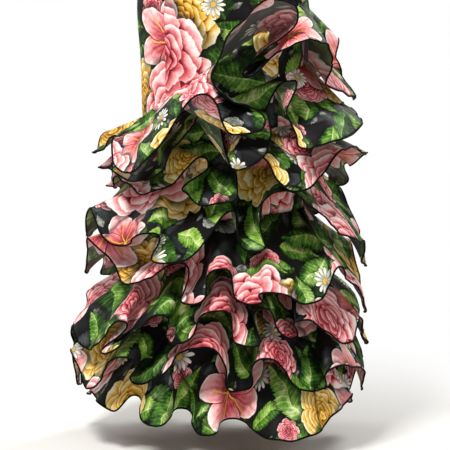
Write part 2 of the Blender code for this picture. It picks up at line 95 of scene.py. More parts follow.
# Running sums from 0 down the columns of a grid, or along its rows
def sums(steps, axis=0):
    return np.pad(np.cumsum(steps, axis), ((1 - axis, 0), (axis, 0)))


# How far along its row or column each point of a grid stands, from point to point
def lengths(points, axis):
    return sums(np.linalg.norm(np.diff(points, axis=axis), axis=2), axis)


# A cubic that leaves one value and arrives at another with given slopes, for t from 0 to 1
def cubic(t, start, leaving, end, arriving):
    return (
        (2 * t**3 - 3 * t**2 + 1) * start
        + (t**3 - 2 * t**2 + t) * leaving
        + (3 * t**2 - 2 * t**3) * end
        + (t**3 - t**2) * arriving
    )


# Puts a mesh, a light or a camera into the scene
def added(name, data):
    item = bpy.data.objects.new(name, data)
    bpy.context.scene.collection.objects.link(item)
    return item


# A mesh of quads, with a place on the print for each point and a material's number for each face
def meshPiece(name, points, quads, uv, materials, numbers=None):
    mesh = bpy.data.meshes.new(name)
    mesh.from_pydata(points.reshape(-1, 3).tolist(), [], quads.tolist())
    mesh.polygons.foreach_set("use_smooth", np.ones(len(quads), bool))
    for material in materials:
        mesh.materials.append(material)
    if numbers is not None:
        mesh.polygons.foreach_set("material_index", numbers.astype(np.int32))
    if uv is not None:
        layer = mesh.uv_layers.new(name="cut")
        layer.data.foreach_set("uv", uv[quads.ravel()].astype(np.float32).ravel())
    mesh.update()
    return added(name, mesh)


# The corners of each quad in a strip between two lines
def strip(near, far):
    return np.stack([near[:-1], near[1:], far[1:], far[:-1]], 1)


# The map for baking, over a square: the printed face fills its lower part, the reverse its upper
# part, and each rim a strip between them
def sheetCorners(rows, columns, quads, rimLengths):
    across, up = np.meshgrid(np.linspace(0, 1, columns), np.linspace(1, 0, rows))
    share, height, gap = (sheetMap[key] for key in ("share", "strip", "gap"))
    lower = np.stack([across, up * share], -1).reshape(-1, 2)
    both = np.concatenate([lower, lower + (0, 1 - share)])
    corners = [both[part].reshape(-1, 2) for part in quads]
    for k, length in enumerate(rimLengths):
        along = np.linspace(0, 1, length)
        low = np.full(length, share + gap + k * (height + gap))
        corners.append(strip(np.stack([along, low], 1), np.stack([along, low + height], 1)).reshape(-1, 2))
    return np.concatenate(corners)


# A thin shell: the printed face on the grid, the reverse behind it and a rim all round
def shell(name, face, normals, uv, materials):
    rows, columns = face.shape[:2]
    outer = np.arange(rows * columns).reshape(rows, columns)
    inner = outer + rows * columns
    rims = [
        (inner[:, 0], outer[:, 0]),
        (outer[:, -1], inner[:, -1]),
        (outer[0], inner[0]),
        (inner[-1], outer[-1]),
    ]
    quads = [gridQuads(outer), gridQuads(inner, True)]
    quads += [strip(near, far) for near, far in rims]
    numbers = np.zeros(sum(map(len, quads)))
    numbers[len(quads[0]) : 2 * len(quads[0])] = 1
    points = np.stack([face, face - normals * cloth["thickness"]])
    flat = np.tile(uv.reshape(-1, 2), (2, 1))
    piece = meshPiece(name, points, np.concatenate(quads), flat, materials, numbers)
    corners = sheetCorners(rows, columns, quads[:2], [len(near) for near, far in rims])
    layer = piece.data.uv_layers.new(name="OFBake", do_init=False)
    layer.data.foreach_set("uv", corners.astype(np.float32).ravel())
    return piece


# A round bead: a circle carried along a path, with a fan of quads closing each end
def bead(name, path, sideways, radius, sides, material):
    along = unit(np.gradient(path, axis=0))
    across = unit(sideways - along * (sideways * along).sum(1, keepdims=True))
    third = np.cross(along, across)
    turn = np.linspace(0, 2 * math.pi, sides, endpoint=False)[None, :, None]
    ring = path[:, None] + radius * (across[:, None] * np.cos(turn) + third[:, None] * np.sin(turn))
    index = np.arange(ring.shape[0] * sides).reshape(-1, sides)
    closed = np.concatenate([index, index[:, :1]], 1)
    caps = []
    for end in (index[0][::-1], index[-1]):
        caps += [(end[0], end[k], end[k + 1], end[k + 2]) for k in range(1, sides - 2, 2)]
    quads = np.concatenate([gridQuads(closed, True), np.array(caps)])
    return meshPiece(name, ring, quads, None, [material])


# Creases across a grid: each a Gaussian trough with a soft ridge beside it, fading at both ends
def creased(points, normals, across, down, creases):
    lift = np.zeros(points.shape[:2])
    for place, start, end, width, depth, lean in creases:
        middle, reach = (start + end) / 2, (end - start) / 2
        away = (across - place - lean * (down - middle)) / width
        fade = np.clip(1 - ((down - middle) / reach) ** 2, 0, 1) ** crease["fade"]
        ridge = crease["ridge"] * np.exp(-((away - crease["ridgeAway"]) ** 2) / crease["ridgeWide"])
        lift -= depth * fade * (np.exp(-(away**2)) - ridge)
    return points + normals * lift[..., None]


# A piece's place on the printed cloth: its flat points turned by degrees and moved
def laidOut(flat, place):
    x, y, degrees = place
    c, s = math.cos(math.radians(degrees)), math.sin(math.radians(degrees))
    return flat @ np.array([[c, s], [-s, c]]) + (x, y)


# Hangs a piece from the dress's one body, in place of its solid where it has one
def ridden(piece, node=None):
    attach(piece, "root")
    if node:
        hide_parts(node)


bodice = {
    # the sheath's outside: up, half width, front, back
    "outside": [
        (-1.430, 0.180, 0.150, 0.152),
        (-1.180, 0.168, 0.138, 0.142),
        (-0.930, 0.158, 0.126, 0.132),
        (-0.750, 0.160, 0.122, 0.130),
        (-0.620, 0.166, 0.121, 0.131),
        (-0.520, 0.150, 0.108, 0.113),
        (-0.420, 0.126, 0.089, 0.087),
        (-0.340, 0.137, 0.100, 0.092),
        (-0.260, 0.150, 0.112, 0.098),
        (-0.200, 0.156, 0.106, 0.099),
        (0.000, 0.150, 0.090, 0.090),
    ],
    "cup": {"out": 0.015, "across": 0.082, "up": -0.265, "wide": 0.052, "tall": 0.058},
    "hem": -1.335,
    "underarm": -0.200,
    "shoulderSlope": 0.28,
    "strapInner": 0.070,
    "strapOuter": 0.108,
    "neckFront": -0.120,
    "neckBack": -0.085,
    "armhole": -0.194,
    "armholeCurve": 1.5,
    # where the princess seams run: up, share of the half width
    "frontPrincess": [(-1.43, 0.66), (-0.62, 0.66), (-0.42, 0.60), (-0.26, 0.57), (-0.20, 0.60), (0, 0.66)],
    "backPrincess": [(-1.43, 0.62), (-0.62, 0.62), (-0.42, 0.56), (-0.26, 0.60), (0, 0.66)],
    "seamRadius": 0.09,  # no seam is nearer to the axis, so half a gap is never less
    "rows": 96,  # of the shell's grid up to the underarm
    "yokeRows": 26,  # from there to the shoulder
    "columns": 48,  # across each panel
}

# Each panel's creases: share across, low and high end, width as a share, depth, lean as a share
# for each metre up
panelCreases = {
    "front_centre": [
        (0.16, -0.86, -0.66, 0.050, 0.0022, 0.90),
        (0.30, -0.93, -0.70, 0.045, 0.0018, -0.60),
        (0.47, -0.80, -0.58, 0.060, 0.0016, 0.70),
        (0.63, -0.74, -0.55, 0.050, 0.0020, -1.10),
        (0.85, -0.70, -0.50, 0.045, 0.0022, -1.40),
        (0.22, -0.50, -0.36, 0.070, 0.0022, 2.60),
        (0.76, -0.52, -0.37, 0.065, 0.0020, -2.40),
        (0.50, -0.45, -0.33, 0.060, 0.0015, 0.90),
    ],
    "front_side_right": [
        (0.30, -0.88, -0.66, 0.090, 0.0020, 1.60),
        (0.66, -0.80, -0.57, 0.080, 0.0024, 1.10),
        (0.45, -0.50, -0.34, 0.120, 0.0022, 3.20),
        (0.80, -0.46, -0.30, 0.100, 0.0016, 2.20),
    ],
    "front_side_left": [
        (0.28, -0.72, -0.54, 0.090, 0.0020, -1.30),
        (0.70, -0.68, -0.48, 0.080, 0.0022, -1.70),
        (0.52, -0.49, -0.35, 0.120, 0.0021, -3.00),
        (0.20, -0.44, -0.29, 0.100, 0.0016, -2.00),
    ],
    "back_side_left": [
        (0.32, -0.70, -0.50, 0.090, 0.0021, 1.50),
        (0.62, -0.52, -0.36, 0.110, 0.0024, 3.10),
        (0.80, -0.64, -0.45, 0.080, 0.0016, 1.20),
    ],
    "back_left": [
        (0.35, -0.72, -0.50, 0.080, 0.0018, -1.20),
        (0.60, -0.50, -0.37, 0.110, 0.0026, 2.80),
        (0.25, -0.44, -0.33, 0.090, 0.0019, 2.20),
        (0.78, -0.62, -0.46, 0.070, 0.0016, 0.80),
    ],
    "back_right": [
        (0.30, -0.49, -0.36, 0.110, 0.0025, -2.90),
        (0.68, -0.45, -0.32, 0.090, 0.0020, -2.10),
        (0.55, -0.75, -0.52, 0.080, 0.0018, 1.30),
        (0.20, -0.65, -0.47, 0.070, 0.0015, -0.90),
    ],
    "back_side_right": [
        (0.35, -0.51, -0.36, 0.110, 0.0023, -3.00),
        (0.66, -0.72, -0.52, 0.090, 0.0020, -1.60),
        (0.22, -0.62, -0.44, 0.080, 0.0017, -1.10),
    ],
}

# Where each panel, in the order round the body, is cut from the printed cloth: across and up
panelLayout = {
    "front_side_right": (-0.21, 0.04),
    "front_centre": (0.03, -0.05),
    "front_side_left": (0.31, 0.07),
    "back_side_left": (0.56, -0.07),
    "back_left": (0.83, 0.11),
    "back_right": (1.37, -0.06),
    "back_side_right": (1.66, -0.11),
}


# A cubic through the rows of a table, with each row's slope taken from its neighbours
def smoothTable(rows, column, at):
    table = np.array(sorted(rows), float)
    x, y = table[:, 0], table[:, column]
    slope = np.gradient(y, x)
    at = np.clip(np.asarray(at, float), x[0], x[-1])
    i = np.clip(np.searchsorted(x, at, side="right") - 1, 0, len(x) - 2)
    span = x[i + 1] - x[i]
    return cubic((at - x[i]) / span, y[i], span * slope[i], y[i + 1], span * slope[i + 1])


# An ellipse at each height, deeper behind than in front, with a Gaussian for each cup
def sheath(angle, up):
    across = smoothTable(bodice["outside"], 1, up) * np.sin(angle)
    front, back = (smoothTable(bodice["outside"], column, up) for column in (2, 3))
    depth = -np.where(np.cos(angle) > 0, front, back) * np.cos(angle)
    cup = bodice["cup"]
    beside = (np.abs(across) - cup["across"]) / cup["wide"]
    above = (up - cup["up"]) / cup["tall"]
    swell = cup["out"] * np.exp(-(beside**2) - above**2)
    return across, depth - swell * np.clip(np.cos(angle), 0, 1)


# The shoulder's height: level at the neck, and a straight slope down from where the strap begins
def shoulderUp(across):
    return -bodice["shoulderSlope"] * np.maximum(np.abs(across) - bodice["strapInner"], 0)


# How high the cloth reaches at a place across: a parabola at the neck, the shoulder, and a power
# curve from its end down to the armhole's lowest point
def columnTop(across, neck):
    inner, outer, lowest = (bodice[key] for key in ("strapInner", "strapOuter", "armhole"))
    across = abs(across)
    if across < inner:
        return neck * (1 - (across / inner) ** 2)
    if across <= outer:
        return shoulderUp(across)
    chest = float(smoothTable(bodice["outside"], 1, bodice["underarm"]))
    share = (chest - across) / (chest - outer)
    return lowest + (shoulderUp(outer) - lowest) * share ** bodice["armholeCurve"]


# Up to the underarm a rise is a height. Past it, it is a turn over the shoulder, in radians
def bodyPoint(angle, rise):
    up = np.minimum(rise, bodice["underarm"])
    turn = np.maximum(rise - bodice["underarm"], 0)
    across, depth = sheath(angle, up)
    top = up + (shoulderUp(across) - bodice["underarm"]) * np.sin(turn)
    return np.stack([across, depth * np.cos(turn), top], -1)


# The sheath's normals: the cross product of its slopes along both parameters
def bodyNormal(angle, rise, step=1e-4):
    down = bodyPoint(angle, rise - step) - bodyPoint(angle, rise + step)
    along = bodyPoint(angle + step, rise) - bodyPoint(angle - step, rise)
    return unit(np.cross(down, along))


# A column's rises above the underarm: even turns up to the neck, armhole or shoulder seam
def yokeRises(angle, neck):
    across, depth = (float(v) for v in sheath(angle, bodice["underarm"]))
    full = shoulderUp(across) - bodice["underarm"]
    last = math.asin(min(1.0, (columnTop(across, neck) - bodice["underarm"]) / full))
    seam = math.acos(cloth["seamGap"] / 2 / max(abs(depth), cloth["seamGap"]))
    return bodice["underarm"] + np.linspace(0, min(last, seam), bodice["yokeRows"] + 1)[1:]


# A panel laid flat: how far a point is along its row and down the middle column. Above the
# underarm a column keeps its place, and its points are as far up as it is long
def flatPanel(points):
    underarm, middle = bodice["yokeRows"], points.shape[1] // 2
    along, down = lengths(points, 1), lengths(points, 0)
    across = along - along[:, middle : middle + 1]
    across[:underarm] = across[underarm]
    up = down[underarm] - down
    up[underarm:] = up[underarm:, middle : middle + 1]
    return np.stack([across, up], -1)


# The seams round the body, from the right side by the front to the right side again: the half
# turns each is measured from, a princess seam's table, and 1 or -1 to add it or take it off
seams = [
    (-0.5, "frontPrincess", 0),
    (0, "frontPrincess", -1),
    (0, "frontPrincess", 1),
    (0.5, "frontPrincess", 0),
    (1, "backPrincess", -1),
    (1, "backPrincess", 0),
    (1, "backPrincess", 1),
    (1.5, "backPrincess", 0),
]


# A seam's angle at any height, moved half a gap to one side
def seamAngle(seam, side, up):
    halfTurns, table, sense = seam
    halfGap = cloth["seamGap"] / 2 / bodice["seamRadius"]
    return halfTurns * math.pi + sense * np.arcsin(smoothTable(bodice[table], 1, up)) + side * halfGap


# A panel between two seams: columns from one to the other, closer together near both, that sink
# a little beside each seam
def panel(name, first, last, materials):
    heights = np.linspace(bodice["hem"], bodice["underarm"], bodice["rows"])
    shares = (1 - np.cos(np.linspace(0, math.pi, bodice["columns"] + 1))) / 2
    first, last = seamAngle(first, 1, heights), seamAngle(last, -1, heights)
    low = first[:, None] * (1 - shares) + last[:, None] * shares
    neck = bodice["neckFront"] if name.startswith("front") else bodice["neckBack"]
    high = np.stack([yokeRises(angle, neck) for angle in low[-1]], 1)
    angles = np.concatenate([low, np.broadcast_to(low[-1], high.shape)])[::-1]
    rises = np.concatenate([np.broadcast_to(heights[:, None], low.shape), high])[::-1]
    points, normals = bodyPoint(angles, rises), bodyNormal(angles, rises)
    flat = flatPanel(points)
    along = flat[..., 0] - flat[:, :1, 0]
    beside = np.minimum(along, along[:, -1:] - along)
    dip = cloth["seamDip"] * np.exp(-((beside / cloth["seamDipWidth"]) ** 2))
    points = points - normals * dip[..., None]
    points = creased(points, normals, along / along[:, -1:], rises, panelCreases[name])
    piece = shell("cloth_" + name, points, normals, laidOut(flat, (*panelLayout[name], 0.0)), materials)
    ridden(piece, name)


# Each panel lies between a seam and the next one
def makePanels(materials):
    for name, first, last in zip(panelLayout, seams, seams[1:]):
        panel(name, first, last, materials)


flounceCut = {
    "hem": -1.450,  # no flounce reaches lower
    "soft": 0.008,  # over what height it is held off the hem and the seam above
    "seamOut": 0.0024,  # how far off the sheath it is sewn
    "bow": 0.03,  # how far its lines bow, as a share of their length
    "bowOut": 0.8,  # how much of the bow is outwards, against 1 upwards
    "lateSwing": 0.3,  # share of a fold's sideways swing at the middle of its bow
    "air": 0.0060,  # between a flounce and those below it
    "sewnShare": 0.12,  # how far down it stays close to the sheath
    "headroom": 0.014,  # under the seam above
    "easeUp": 1.6,  # how steeply the room over a fold closes
    "bend": 0.02,  # how much closer columns stand where the edge turns
    "edgeSteps": 48,  # for measuring the edge between two rows of a fold table
    "rows": 30,  # of the shell's grid from seam to free edge
    "steps": 16,  # columns between two rows of a fold table
    "hemRadius": 0.0018,  # of the rolled black hem
    "hemSides": 8,
}

# Gathers along the seam: width and depth, how a slower sine shifts them, how far down they reach
# and start, as shares
gathers = {"width": 0.011, "depth": 0.0012, "sway": 2.3, "swayTurns": 41, "reach": 0.10, "start": 0.02}

# Ripples along the free edge
ripples = {
    "waves": [(0.090, 0.0028, 2), (0.041, 0.0009, 4)],  # length, depth, how steeply they grow
    "sway": 2.2,  # how a slower sine shifts them
    "swayTurns": 0.7,
    "raised": 0.35,
    "calm": 0.050,  # they fade where the edge turns more sharply than this radius
    "calmSpread": 15,  # columns the turning is averaged over
}

# Creases of a flounce's half: share of its edge, where it starts and ends on the way down, width
# as a share, depth, lean
flounceCreases = [
    (0.040, -0.20, 0.55, 0.0100, 0.0032, 0.010),
    (0.118, 0.35, 1.15, 0.0130, 0.0041, -0.014),
    (0.205, -0.10, 0.80, 0.0085, 0.0028, 0.022),
    (0.270, 0.50, 1.30, 0.0105, 0.0035, 0.006),
    (0.362, -0.30, 0.42, 0.0150, 0.0038, -0.018),
    (0.455, 0.10, 1.05, 0.0115, 0.0045, 0.015),
    (0.520, 0.60, 1.25, 0.0080, 0.0025, -0.008),
    (0.611, -0.20, 0.66, 0.0125, 0.0035, 0.020),
    (0.700, 0.25, 1.20, 0.0095, 0.0039, -0.020),
    (0.778, -0.10, 0.38, 0.0140, 0.0030, 0.012),
    (0.853, 0.45, 1.30, 0.0110, 0.0042, 0.004),
    (0.940, 0.00, 0.75, 0.0090, 0.0029, -0.012),
]
creaseShift = {"flounce": 0.37, "back": 0.19}  # so that each half starts elsewhere on the list

# Where the flounces are cut from the printed cloth: across and degrees for each flounce, then up
# and more degrees for its halves
flounceLayout = {"across": 0.43, "turn": 30.0, "front": (2.1, 0.0), "back": (3.9, 17.0)}

# Each flounce, from the top one down: the height of its seam at either side, how many folds it has
# behind and how far they reach out and drop, and how far out it may go. The folds in front are
# those of its free edge, from the right to the left: across, forward, up, heading in degrees, hold
flounces = [
    {
        "right": -0.856, "left": -0.620, "backFolds": 5, "reach": 0.088, "drop": 0.058, "outermost": 0.36,
        "folds": [
            (-0.188, -0.050, -0.930, 0, 0.11), (-0.195, 0.040, -0.888, 0, 0.12),
            (-0.135, 0.140, -0.950, 0, 0.20), (-0.035, 0.280, -0.800, 11, 0.12),
            (0.020, 0.200, -0.875, 11, 0.08), (0.060, 0.200, -0.840, 106, 0.07),
            (-0.015, 0.270, -0.765, 85, 0.15), (0.095, 0.250, -0.630, 0, 0.12),
            (0.140, 0.210, -0.665, -101, 0.08), (0.040, 0.205, -0.770, -45, 0.07),
            (0.145, 0.230, -0.705, 6, 0.16), (0.210, 0.130, -0.735, -85, 0.07),
            (0.165, 0.100, -0.785, -140, 0.05), (0.185, -0.030, -0.820, 0, 0.10),
        ],
    },
    {
        "right": -0.885, "left": -0.750, "backFolds": 5, "reach": 0.095, "drop": 0.080, "outermost": 0.33,
        "folds": [
            (-0.178, -0.050, -0.960, 0, 0.10), (-0.188, 0.030, -0.945, 0, 0.10),
            (-0.125, 0.130, -0.970, 0, 0.20), (-0.025, 0.230, -0.830, -5, 0.11),
            (0.020, 0.165, -0.940, 15, 0.07), (0.080, 0.150, -0.840, 60, 0.10),
            (0.130, 0.200, -0.775, 0, 0.10), (0.120, 0.225, -0.855, -80, 0.12),
            (0.150, 0.220, -0.900, 5, 0.13), (0.240, 0.120, -0.865, 15, 0.09),
            (0.240, -0.050, -0.830, 0, 0.12),
        ],
    },
    {
        "right": -0.915, "left": -0.860, "backFolds": 6, "reach": 0.095, "drop": 0.080, "outermost": 0.30,
        "folds": [
            (-0.178, -0.050, -1.000, 0, 0.10), (-0.178, 0.035, -0.970, 0, 0.09),
            (-0.125, 0.130, -0.995, 0, 0.13), (-0.040, 0.205, -0.920, 0, 0.05),
            (-0.025, 0.200, -0.940, -90, 0.03), (-0.065, 0.170, -0.985, -30, 0.06),
            (-0.020, 0.155, -1.010, 20, 0.07), (0.025, 0.190, -0.985, 85, 0.08),
            (0.060, 0.250, -0.915, 0, 0.11), (0.105, 0.200, -0.980, 0, 0.11),
            (0.220, 0.170, -0.915, 35, 0.13), (0.285, -0.020, -0.930, 0, 0.13),
        ],
    },
    {
        "right": -0.980, "left": -0.930, "backFolds": 5, "reach": 0.130, "drop": 0.085, "outermost": 0.30,
        "folds": [
            (-0.230, -0.060, -1.100, 0, 0.14), (-0.245, 0.040, -1.030, 0, 0.16),
            (-0.190, 0.120, -1.095, -10, 0.10), (-0.120, 0.220, -1.060, 0, 0.12),
            (-0.065, 0.150, -1.115, 5, 0.16), (0.010, 0.200, -1.025, 30, 0.14),
            (0.040, 0.150, -1.095, 0, 0.12), (0.075, 0.220, -1.015, 60, 0.10),
            (0.115, 0.250, -0.980, 0, 0.10), (0.210, 0.170, -1.060, -35, 0.13),
            (0.265, 0.050, -1.095, 0, 0.12), (0.250, -0.060, -1.160, 0, 0.14),
        ],
    },
    {
        "right": -1.060, "left": -1.030, "backFolds": 6, "reach": 0.130, "drop": 0.085, "outermost": 0.30,
        "folds": [
            (-0.255, -0.070, -1.175, 0, 0.14), (-0.265, 0.040, -1.090, 0, 0.17),
            (-0.135, 0.120, -1.165, 5, 0.18), (-0.080, 0.240, -1.115, -5, 0.14),
            (-0.040, 0.180, -1.190, 10, 0.13), (-0.005, 0.240, -1.125, 10, 0.14),
            (0.030, 0.165, -1.185, 0, 0.11), (0.080, 0.255, -1.165, 0, 0.12),
            (0.150, 0.210, -1.190, 5, 0.12), (0.210, 0.190, -1.135, 40, 0.12),
            (0.235, 0.040, -1.195, 0, 0.10), (0.230, -0.060, -1.255, 0, 0.12),
        ],
    },
    {
        "right": -1.140, "left": -1.115, "backFolds": 5, "reach": 0.130, "drop": 0.090, "outermost": 0.30,
        "folds": [
            (-0.275, -0.060, -1.340, 0, 0.14), (-0.290, 0.040, -1.265, 0, 0.16),
            (-0.225, 0.100, -1.300, 0, 0.14), (-0.185, 0.230, -1.225, 0, 0.12),
            (-0.160, 0.130, -1.295, 0, 0.11), (-0.115, 0.250, -1.210, 0, 0.14),
            (-0.065, 0.160, -1.265, 0, 0.16), (-0.010, 0.260, -1.200, 5, 0.17),
            (0.030, 0.160, -1.270, 0, 0.12), (0.075, 0.270, -1.195, 0, 0.11),
            (0.105, 0.160, -1.260, 0, 0.12), (0.150, 0.250, -1.220, 0, 0.15),
            (0.205, 0.130, -1.280, 0, 0.13), (0.255, 0.050, -1.245, 0, 0.13),
            (0.245, -0.060, -1.320, 0, 0.13),
        ],
    },
    {
        "right": -1.215, "left": -1.195, "backFolds": 6, "reach": 0.125, "drop": 0.085, "outermost": 0.30,
        "folds": [
            (-0.280, -0.070, -1.405, 0, 0.14), (-0.300, 0.030, -1.315, 0, 0.16),
            (-0.235, 0.090, -1.380, 0, 0.15), (-0.180, 0.220, -1.295, 0, 0.18),
            (-0.125, 0.140, -1.355, 5, 0.18), (-0.035, 0.260, -1.270, 0, 0.22),
            (0.025, 0.165, -1.365, 0, 0.14), (0.080, 0.260, -1.290, 0, 0.14),
            (0.140, 0.150, -1.365, 0, 0.18), (0.205, 0.200, -1.320, 10, 0.14),
            (0.255, 0.050, -1.345, 0, 0.12), (0.245, -0.060, -1.415, 0, 0.13),
        ],
    },
    {
        "right": -1.285, "left": -1.270, "backFolds": 6, "reach": 0.120, "drop": 0.095, "outermost": 0.30,
        "folds": [
            (-0.270, -0.080, -1.425, 0, 0.13), (-0.255, 0.030, -1.405, 0, 0.14),
            (-0.215, 0.125, -1.418, 0, 0.13), (-0.165, 0.125, -1.388, 0, 0.12),
            (-0.130, 0.235, -1.424, 0, 0.15), (-0.075, 0.150, -1.408, 0, 0.12),
            (-0.030, 0.240, -1.444, 0, 0.12), (0.020, 0.165, -1.425, 0, 0.13),
            (0.130, 0.265, -1.450, 0, 0.25), (0.215, 0.150, -1.420, 8, 0.14),
            (0.255, 0.050, -1.402, 0, 0.13), (0.255, -0.070, -1.445, 0, 0.12),
        ],
    },
]

# How uneven the back folds are: their place along the body as a share of their width, reach and
# drop as shares of the flounce's own, the hollows' in m, heading in degrees, hold
backUneven = {
    "shift": (-0.22, 0.22),
    "crestReach": (0.82, 1.15),
    "crestDrop": (0.75, 1.2),
    "hollowOut": (0.028, 0.0455),
    "hollowDrop": (0.1215, 0.14175),
    "heading": (-12, 12),
    "hold": (0.16, 0.24),
    "firstSeed": 40,
}

# A map of how far out the flounces made so far reach, by angle and height: its cells, the grid it
# is filled from and how many times it is widened and averaged
reachMap = {"turns": 180, "levels": 190, "low": -1.47, "rise": 0.005, "steps": 16, "rows": 41, "rounds": 2}


# A flounce's seam: a sine round the body, highest at the left side
def seamHeight(flounce, angle):
    right, left = flounce["right"], flounce["left"]
    return (left + right) / 2 + (left - right) / 2 * np.sin(angle)


# Crests and hollows in turn round the back, uneven but the same each time
def backFolds(number):
    flounce = flounces[number]
    draw = np.random.default_rng(backUneven["firstSeed"] + number).uniform
    last, first = flounce["folds"][0], flounce["folds"][-1]
    left = math.atan2(first[0], first[1])
    right = math.atan2(last[0], last[1]) + 2 * math.pi
    rows = []
    for turn in range(1, 2 * flounce["backFolds"]):
        angle = left + (right - left) * (turn + draw(*backUneven["shift"])) / (2 * flounce["backFolds"])
        if turn % 2:
            out = flounce["reach"] * draw(*backUneven["crestReach"])
            down = flounce["drop"] * draw(*backUneven["crestDrop"])
        else:
            out, down = draw(*backUneven["hollowOut"]), draw(*backUneven["hollowDrop"])
        up = seamHeight(flounce, angle) - down
        x, y = sheath(angle, up)
        across, forward = x + out * math.sin(angle), -y + out * math.cos(angle)
        rows.append((across, forward, up, draw(*backUneven["heading"]), draw(*backUneven["hold"])))
    return rows


# The closed free edge: cubics from row to row that leave and arrive on the rows' headings, with
# their points spread evenly by length and by bend. Gives the points, how far along each stands
# and the whole length
def freeEdge(number, steps):
    table = np.array(flounces[number]["folds"] + backFolds(number), float)
    place, heading, hold = table[:, :3] * (1, -1, 1), np.radians(table[:, 3:4]), table[:, 4:]
    leaving = (tangent(angleOf(place)) * np.cos(heading) + np.sin(heading) * (0, 0, 1)) * hold
    ends = (place, leaving, np.roll(place, -1, 0), np.roll(leaving, -1, 0))
    fine = np.linspace(0, 1, flounceCut["edgeSteps"] + 1)
    moves = np.diff(cubic(fine[:, None, None], *ends), axis=0)
    length = np.linalg.norm(moves, axis=2)
    turned = np.linalg.norm(np.diff(moves / length[..., None], axis=0), axis=2)
    turned = (np.pad(turned, ((1, 0), (0, 0))) + np.pad(turned, ((0, 1), (0, 0)))) / 2
    weight, travelled = sums(length + turned * flounceCut["bend"]), sums(length)
    even = np.arange(steps) / steps
    t = np.stack([np.interp(even * w[-1], w, fine) for w in weight.T], 1)
    reached = np.stack([np.interp(share, fine, far) for share, far in zip(t.T, travelled.T)], 1)
    reached = reached + np.concatenate([[0], np.cumsum(travelled[-1])[:-1]])
    points = cubic(t[..., None], *ends)
    return points.transpose(1, 0, 2).reshape(-1, 3), reached.T.ravel(), travelled[-1].sum()


# Bowed lines from the seam to the free edge: quadratic curves whose middle point stands off the
# chord, up and out, with most of a fold's sideways swing left for the end
def bowedSurface(number, steps, down):
    flounce = flounces[number]
    edge, reached, whole = freeEdge(number, steps)
    middle = (len(flounce["folds"]) - 1) * steps
    half = reached[middle]
    front = -math.pi / 2 + math.pi * reached[:middle] / half
    back = math.pi / 2 + math.pi * (reached[middle:] - half) / (whole - half)
    angle = np.concatenate([front, back])
    up = seamHeight(flounce, angle)
    x, y = sheath(angle, up)
    outward = np.stack([np.sin(angle), -np.cos(angle), 0 * angle], 1)
    seam = np.stack([x, y, up], 1) + outward * flounceCut["seamOut"]
    chord = edge - seam
    length = np.linalg.norm(chord, axis=1, keepdims=True)
    away = outward * flounceCut["bowOut"] + (0, 0, 1)
    away = unit(away - chord * (away * chord).sum(1, keepdims=True) / length**2)
    along = tangent(angle)
    swing = along * (along * chord).sum(1, keepdims=True)
    bow = seam + (chord - swing) / 2 + swing * flounceCut["lateSwing"] + away * length * flounceCut["bow"]
    v = down[:, None, None]
    return (1 - v) ** 2 * seam + 2 * v * (1 - v) * bow + v**2 * edge


# Points as places on the map: turns round the axis and levels above its foot, counted in cells
def mapPlace(points):
    turn = (angleOf(points) / (2 * math.pi) % 1) * reachMap["turns"]
    level = (points[..., 2] - reachMap["low"]) / reachMap["rise"]
    return turn, np.clip(level, 0, reachMap["levels"] - 1.001)  # just below the last level


# The map between its cells, by straight shares of the four nearest
def readMap(reach, points):
    turn, level = mapPlace(points)
    i, j = turn.astype(int), level.astype(int)
    s, t = turn - i, level - j
    i, after = i % reachMap["turns"], (i + 1) % reachMap["turns"]
    low = reach[i, j] * (1 - s) + reach[after, j] * s
    high = reach[i, j + 1] * (1 - s) + reach[after, j + 1] * s
    return low * (1 - t) + high * t


# The map with a surface added: each cell keeps the largest radius found in it or next to it
def addToMap(reach, surface):
    between = (surface + np.roll(surface, -1, 1)) / 2
    points = np.concatenate([surface.reshape(-1, 3), between.reshape(-1, 3)])
    turn, level = mapPlace(points)
    found = np.zeros_like(reach)
    cells = (np.rint(turn).astype(int) % reachMap["turns"], np.rint(level).astype(int))
    np.maximum.at(found, cells, np.hypot(points[:, 0], points[:, 1]))
    for _ in range(reachMap["rounds"]):
        found = np.maximum(found, np.maximum(np.roll(found, 1, 0), np.roll(found, -1, 0)))
        found[:, 1:-1] = np.maximum(found[:, 1:-1], np.maximum(found[:, 2:], found[:, :-2]))
    return np.maximum(reach, found)


# The map eased: above a fold its radius falls off at a steady slope, and neighbours are averaged
# without going under what was there
def easeMap(reach):
    eased = reach.copy()
    fall = reachMap["rise"] * flounceCut["easeUp"]
    for level in range(1, reachMap["levels"]):
        eased[:, level] = np.maximum(eased[:, level], eased[:, level - 1] - fall)
    for _ in range(reachMap["rounds"]):
        eased = (np.roll(eased, 1, 0) + 2 * eased + np.roll(eased, -1, 0)) / 4
    return np.maximum(eased, reach)


# The flounce moved up off the hem, down from the seam above and out past the ones below
def fitSurface(number, surface, reach, down):
    surface = surface.copy()
    soft = flounceCut["soft"]
    angle = angleOf(surface)
    if number:
        limit = seamHeight(flounces[number - 1], angle) - flounceCut["headroom"]
        surface[..., 2] = limit - soft * np.logaddexp(0, (limit - surface[..., 2]) / soft)
        surface[0, :, 2] = np.minimum(surface[0, :, 2], seamHeight(flounces[number], angle[0]))
    lowest = flounceCut["hem"]
    surface[..., 2] = lowest + soft * np.logaddexp(0, (surface[..., 2] - lowest) / soft)
    x, y = sheath(angle, surface[..., 2])
    body = np.hypot(x, y) + flounceCut["seamOut"]
    radius = np.hypot(surface[..., 0], surface[..., 1])
    weight = np.clip(down[:, None] / flounceCut["sewnShare"], 0, 1)
    clear = np.maximum(body, readMap(reach, surface) + flounceCut["air"])
    clear = body + (clear - body) * weight**2 * (3 - 2 * weight)
    outermost = flounces[number]["outermost"]
    share = np.clip((radius - body) / (outermost - body), 0, None)
    surface[..., :2] *= ((clear + share * (outermost - clear)) / radius)[..., None]
    return surface


